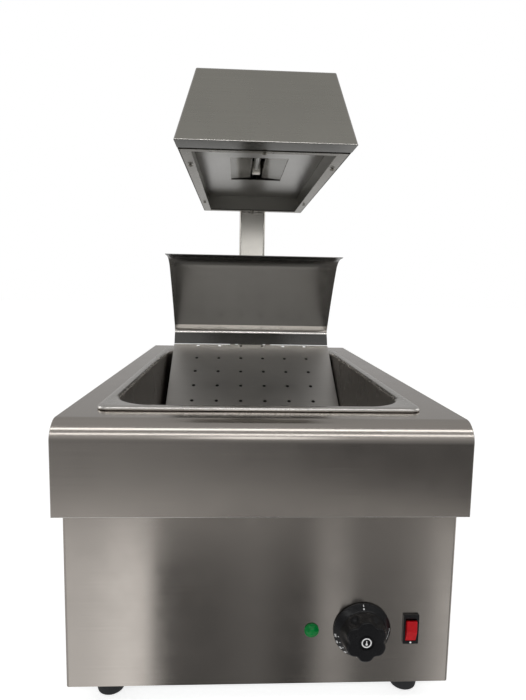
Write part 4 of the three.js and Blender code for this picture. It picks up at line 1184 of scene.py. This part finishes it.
red_lens = coloured_lens("red_lens", (0.26, 0.002, 0.004), (0.54, 0.004, 0.010), 0.14, 0.08)
rocker_pivot = Vector((shell_front - 1 * millimetre, controls_height))
rocker_tilt = math.radians(8)
rocker_shape = [
    (4.0, -4.0), (-0.5, -10.6), (-2.2, -11.0), (-2.7, -10.8), (-4.6, -1.0), (-4.8, 0.0), (-4.6, 1.0),
    (-2.7, 10.8), (-2.2, 11.0), (-0.5, 10.6), (4.0, 4.0),
]
turned_shape = Matrix.Rotation(rocker_tilt, 2)
rocker_outline = [tuple(rocker_pivot + turned_shape @ (Vector(point) * millimetre)) for point in rocker_shape]
rocker_half = 5.1 * millimetre
rocker = prism("red_rocker", rocker_outline, "x", switch_x - rocker_half, switch_x + rocker_half)
smooth(rounded_edges(rocker, 0.45 * millimetre, 3, 30), red_lens, 30)
fitted(rocker, "rocker", "red_lens", "switch_rocker")

# ---- Post with its base ----
# A rectangular steel tube on a flange bolted through the countertop, with a plastic cap on its open top.
# Its grain runs level, round the tube.
post_low, post_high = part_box("post")
post_middle = (post_low + post_high) / 2
post_half = ((post_high - post_low) / 2).to_2d()
post_wall = 2 * millimetre
post_steel = brushed_steel("post_steel", level_grain, (0.83, 0.80, 0.74), 0.20, 0.5)


def moved_outline(outline, x, y):
    return [(u + x, v + y) for u, v in outline]


post_outline = moved_outline(rounded_rectangle(*post_half, 4 * millimetre, 12), post_middle.x, post_middle.y)
bore_outline = rounded_rectangle(post_half.x - post_wall, post_half.y - post_wall, 2 * millimetre, 8)
tube_bore = moved_outline(bore_outline, post_middle.x, post_middle.y)
tube = prism("lamp_post", post_outline, "z", post_low.z, post_high.z)
lead_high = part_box("lamp_lead")[1]
lead_height = lead_high.z - 3 * millimetre
lead_port = disc_outline(0.0, lead_height, 5 * millimetre)
front_wall = (post_low.y - overshoot, post_low.y + 3 * overshoot)
tube_cutters = [
    prism("bore", tube_bore, "z", post_low.z - overshoot, post_high.z + overshoot),
    prism("port", lead_port, "y", *front_wall),
]


def middles(nodes):
    """The middles of nodes of the frame."""
    return [sum(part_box(node), Vector()) / 2 for node in nodes]


bolt_nodes = [f"hood_bolt_{index}" for index in range(1, 5)]
bolt_hole_radius = 3.2 * millimetre
bolt_holes = [disc_outline(at.x, at.z, bolt_hole_radius, 32) for at in middles(bolt_nodes)]
tube_cutters += [prism("bolt_hole", hole, "y", *front_wall) for hole in bolt_holes]
combined(tube, tube_cutters)
smooth(rounded_edges(tube, 0.15 * millimetre, 2, 60), post_steel)
fitted(tube, "cabinet", "brushed_steel", "post")


def plate(name, outline, axis, start, end, holes, material, edge=0.3 * millimetre):
    """A flat piece with broken edges and holes through it."""
    piece = rounded_edges(prism(name, outline, axis, start, end), edge, 2, 50)
    punches = [prism("punch", hole, axis, start - overshoot, end + overshoot) for hole in holes]
    if punches:
        combined(piece, punches)
    return smooth(piece, material)


base_nodes = [f"post_bolt_{index}" for index in range(1, 5)]
base_low, base_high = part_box("post_base")
base_half = ((base_high - base_low) / 2).to_2d()
base_middle = (base_low + base_high) / 2
base_outline = moved_outline(rounded_rectangle(*base_half, 3 * millimetre, 6), base_middle.x, base_middle.y)
base_holes = [disc_outline(at.x, at.y, bolt_hole_radius, 32) for at in middles(base_nodes)]
base_holes.append(disc_outline(0.0, post_low.y + 9 * millimetre, 5 * millimetre, 32))
post_flange = plate("post_flange", base_outline, "z", base_low.z, base_high.z, base_holes, counter_steel)
fitted(post_flange, "cabinet", "brushed_steel", "post_base")
screws("post_bolts", base_nodes, "up", 5.5, 4.0, 2.9, 7.0)
cap_bottom, cap_top = (corner.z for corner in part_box("post_cap"))
tube_cap = plate("tube_cap", post_outline, "z", cap_bottom, cap_top, [], black_nylon, 0.5 * millimetre)
fitted(tube_cap, "cabinet", "black_plastic", "post_cap")
painted(foot_rubber, "lamp_lead")

# ---- Lamp hood ----
# A folded shell of brushed sheet that narrows towards its top. A strip under its front edge and a flat frame
# with six screws close its rim, and a plate and four bolts hold it to the post.
hood_low, hood_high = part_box("hood_shell")
hood_sheet = 1.2 * millimetre
hood_rise = hood_high.z - hood_low.z
hood_half = hood_high.x
hood_top_half = 73.5 * millimetre
hood_lean = 28 * millimetre
strip_depth = 34 * millimetre
wall_width = hood_sheet * 1.03  # the leaning walls are cut a little wider than their sheet is thick


def hood_ring(height, inward):
    """The hood's outline at a height over its rim, drawn in by a distance, with the height it lies at."""
    share = height / hood_rise
    half = hood_half + (hood_top_half - hood_half) * share - inward
    front, rear = hood_low.y + hood_lean * share + inward, hood_high.y - inward
    return [(half, front), (half, rear), (-half, rear), (-half, front)], hood_low.z + height


def between_rings(name, *rings):
    return lofted(name, [[(*point, height) for point in ring] for ring, height in rings])


def box(name, low, high):
    return prism(name, rectangle(low[0], low[1], high[0], high[1]), "z", low[2], high[2])


frame_low, frame_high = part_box("hood_frame")
frame_member = 12 * millimetre
seat = frame_high.z + seat_gap
hair = 0.3 * millimetre  # the small gap between pieces that lie side by side
rim_strip = box(
    "strip",
    (-hood_half + 0.2 * millimetre, hood_low.y + 0.2 * millimetre, hood_low.z),
    (hood_half - 0.2 * millimetre, hood_low.y + strip_depth - 2.5 * millimetre, hood_low.z + hood_sheet),
)
strip_ends = between_rings("ends", hood_ring(-2 * overshoot, hair), hood_ring(2 * overshoot, hair))
combined(rim_strip, [strip_ends], "INTERSECT")
return_ring = box(
    "returns",
    (frame_low.x - hair, hood_low.y + strip_depth - 2 * millimetre, seat),
    (frame_high.x + hair, frame_high.y + 0.5 * millimetre, seat + hood_sheet),
)
return_inset = frame_member - 2 * millimetre
return_hole = box(
    "hole",
    (frame_low.x + return_inset, frame_low.y + return_inset, seat - overshoot),
    (frame_high.x - return_inset, frame_high.y - return_inset, seat + hood_sheet + overshoot),
)
combined(return_ring, [return_hole])
hood_steel = brushed_steel("hood_steel", crosswise_grain, (0.600, 0.580, 0.520), 0.27, 0.4)
# Near-black steel for the returns behind the strip: a painted shade in the gap there.
shaded_steel = brushed_steel("shaded_steel", crosswise_grain, (0.10, 0.095, 0.085), 0.40, 0.0)
lamp_hood = between_rings("lamp_hood", hood_ring(0, 0), hood_ring(hood_rise, 0))
# A darker steel for the hood's inward faces: a painted shade inside the hood.
shaded_inner_steel = brushed_steel("shaded_inner_steel", crosswise_grain, (0.38, 0.37, 0.34), 0.34, 0.0)
for finish in (hood_steel, painted_highlight_steel, shaded_steel, shaded_inner_steel):
    lamp_hood.data.materials.append(finish)
# The hood's broken edges take the paler steel, a painted highlight along its folds.
rounded_edges(lamp_hood, 1.2 * millimetre, 4, 40, 1)
inside_low = hood_ring(-0.5 * overshoot, wall_width)
inside_high = hood_ring(hood_rise - hood_sheet, wall_width)
inside = between_rings("inside", inside_low, inside_high)
combined(lamp_hood, [inside])
step_wall = box(
    "step",
    (frame_low.x, hood_low.y + strip_depth - hood_sheet, hood_low.z + hood_sheet),
    (frame_high.x, hood_low.y + strip_depth, seat + hood_sheet),
)
combined(lamp_hood, [return_ring, step_wall], "UNION")
frame_nodes = [f"frame_screw_{index}" for index in range(1, 7)]
frame_holes = [disc_outline(at.x, at.y, 2 * millimetre, 24) for at in middles(frame_nodes)]
rear_wall = (hood_high.y - 1.5 * overshoot, hood_high.y + overshoot)
frame_seat = (hood_low.z - overshoot, seat + 1.5 * overshoot)
hood_cutters = [prism("punch", hole, "z", *frame_seat) for hole in frame_holes]
hood_cutters += [prism("punch", hole, "y", *rear_wall) for hole in [*bolt_holes, lead_port]]
combined(lamp_hood, hood_cutters)
hood_middle_y = (hood_low.y + hood_high.y) / 2
# Returns behind the strip take the near-black steel and inward faces the darker steel: painted shade.
for face in lamp_hood.data.polygons:
    behind_strip = face.center.y > hood_low.y + strip_depth - 6 * millimetre
    on_return = face.center.z < seat + hood_sheet and face.normal.z < 0.5 and abs(face.normal.x) < 0.5
    if behind_strip and on_return:
        face.material_index = 2
    inward = -face.normal.x * face.center.x > 0.02 or -face.normal.y * (face.center.y - hood_middle_y) > 0.02
    if inward and face.material_index == 0:
        face.material_index = 3
smooth(lamp_hood, hood_steel)
fitted(lamp_hood, "cabinet", "brushed_steel", "hood_shell")
# The strip's steel is near black: a painted shade under the hood's front edge.
shaded_strip_steel = brushed_steel("shaded_strip_steel", crosswise_grain, (0.156, 0.1508, 0.1352), 0.20, 0.4)
smooth(rim_strip, shaded_strip_steel)
rim_strip.name = "hood_strip"
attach(rim_strip, "cabinet")

ring_outline = rectangle(frame_low.x, frame_low.y + 3 * millimetre, frame_high.x, frame_high.y)
opening_start = frame_low + Vector((frame_member, frame_member, 0.0))
opening_end = frame_high - Vector((frame_member, frame_member, 0.0))
ring_opening = rectangle(opening_start.x, opening_start.y, opening_end.x, opening_end.y)
# The frame's steel is darker than the hood's: a painted shade under the hood.
shaded_ring_steel = brushed_steel("shaded_ring_steel", crosswise_grain, (0.41, 0.39, 0.35), 0.27, 0.4)
ring_holes = [ring_opening, *frame_holes]
hood_ring_plate = plate(
    "hood_ring", ring_outline, "z", frame_low.z, frame_high.z, ring_holes, shaded_ring_steel, 0.2 * millimetre
)
fitted(hood_ring_plate, "cabinet", "brushed_steel", "hood_frame")
mount_low, mount_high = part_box("hood_mount_plate")
mount_outline = rectangle(mount_low.x, mount_low.z, mount_high.x, mount_high.z)
mount_holes = [*bolt_holes, lead_port]
mounting = plate(
    "mounting_plate", mount_outline, "y", mount_low.y, mount_high.y, mount_holes, hood_steel, 0.4 * millimetre
)
fitted(mounting, "cabinet", "brushed_steel", "hood_mount_plate")
screws("frame_screws", frame_nodes, "down", 3.6, 2.2, 1.7, 5.0)
screws("hood_bolts", bolt_nodes, "front", 5.0, 3.5, 2.9, 12.0)

# ---- Lamp ----
# Inside the hood, a bright ceiling plate with a folded reflector in it. A quartz tube with pinched ends
# lies in two ceramic holders in the reflector's trough.
bright_sheet = brushed_steel("bright_sheet", lengthways_grain, (0.64, 0.63, 0.61), 0.32, 0.0)
ceiling_low, ceiling_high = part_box("ceiling_plate")
cut_out_half = (40 * millimetre, 77 * millimetre)
lamp_middle = sum(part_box("quartz_lamp"), Vector()) / 2
ceiling_outline = rectangle(ceiling_low.x, ceiling_low.y, ceiling_high.x, ceiling_high.y)
cut_out = rectangle(
    -cut_out_half[0], lamp_middle.y - cut_out_half[1], cut_out_half[0], lamp_middle.y + cut_out_half[1]
)
thin_edge = 0.15 * millimetre
lamp_ceiling = plate(
    "lamp_ceiling", ceiling_outline, "z", ceiling_low.z, ceiling_high.z, [cut_out], bright_sheet, thin_edge
)
fitted(lamp_ceiling, "cabinet", "polished_steel", "ceiling_plate")
reflector_low, reflector_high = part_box("lamp_reflector")
reflector_sheet = 0.8 * millimetre
reflector_steel = brushed_steel("reflector_steel", level_grain, (0.33, 0.32, 0.29), 0.16, 0.6)
wing_z = reflector_low.z
trough_half = 9 * millimetre
trough_rise = 30 * millimetre
wing_rise = 1.5 * millimetre
reflector_line = eased(
    [
        (reflector_low.x, wing_z),
        (-cut_out_half[0], wing_z),
        (-trough_half, wing_z + wing_rise),
        (-trough_half, wing_z + trough_rise),
        (trough_half, wing_z + trough_rise),
        (trough_half, wing_z + wing_rise),
        (cut_out_half[0], wing_z),
        (reflector_high.x, wing_z),
    ],
    1.0 * millimetre,
    4,
)
reflector_outline = sheet_outline(reflector_line, -reflector_sheet)
reflector = prism("folded_reflector", reflector_outline, "y", reflector_low.y, reflector_high.y)
smooth(reflector, reflector_steel)
fitted(reflector, "cabinet", "polished_steel", "lamp_reflector")
for end, way in (("front", 1), ("rear", -1)):
    holder_low, holder_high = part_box(f"lamp_holder_{end}")
    holder_outline = rectangle(holder_low.x, holder_low.z, holder_high.x, holder_high.z)
    name = f"ceramic_holder_{end}"
    holder_edge = 0.6 * millimetre
    holder = plate(name, holder_outline, "y", holder_low.y, holder_high.y, [], white_ceramic, holder_edge)
    mouth = holder_high.y if way > 0 else holder_low.y
    socket_ends = sorted((mouth + way * 1.0 * millimetre, mouth - way * 4.5 * millimetre))
    socket = disc_outline(lamp_middle.x, lamp_middle.z, 2.8 * millimetre, 32)
    combined(holder, [prism("socket", socket, "y", *socket_ends)])
    smooth(holder, white_ceramic)
    fitted(holder, "cabinet", "ceramic", f"lamp_holder_{end}")

tube_low, tube_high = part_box("quartz_lamp")
tube_middle = (tube_low + tube_high) / 2
half_lamp = (tube_high.y - tube_low.y) / 2 / millimetre
lamp_end = [(0.2, 0.0), (2.4, 0.0), (2.4, 7.0), (3.0, 8.5), (4.3, 10.0), (5.0, 12.0)]
lamp_profile = [(radius, along - half_lamp) for radius, along in lamp_end]
lamp_profile += [(radius, -along) for radius, along in reversed(lamp_profile)]
quartz_tube = turned("quartz_tube", lamp_profile, "y", tuple(tube_middle), 40)
clear_quartz, quartz_tree, quartz_shader, quartz_place = new_material("clear_quartz")
quartz_cloud = noise(quartz_tree, quartz_place, 300.0, 2.0)
quartz_colour = blend(quartz_tree, quartz_cloud, (0.70, 0.70, 0.66), (0.92, 0.92, 0.90))
quartz_tree.links.new(quartz_colour, quartz_shader.inputs["Base Color"])
quartz_shader.inputs["Roughness"].default_value = 0.08
quartz_shader.inputs["IOR"].default_value = 1.46
quartz_shader.inputs["Transmission Weight"].default_value = 0.45
smooth(quartz_tube, clear_quartz, 50)
fitted(quartz_tube, "cabinet", "quartz", "quartz_lamp")
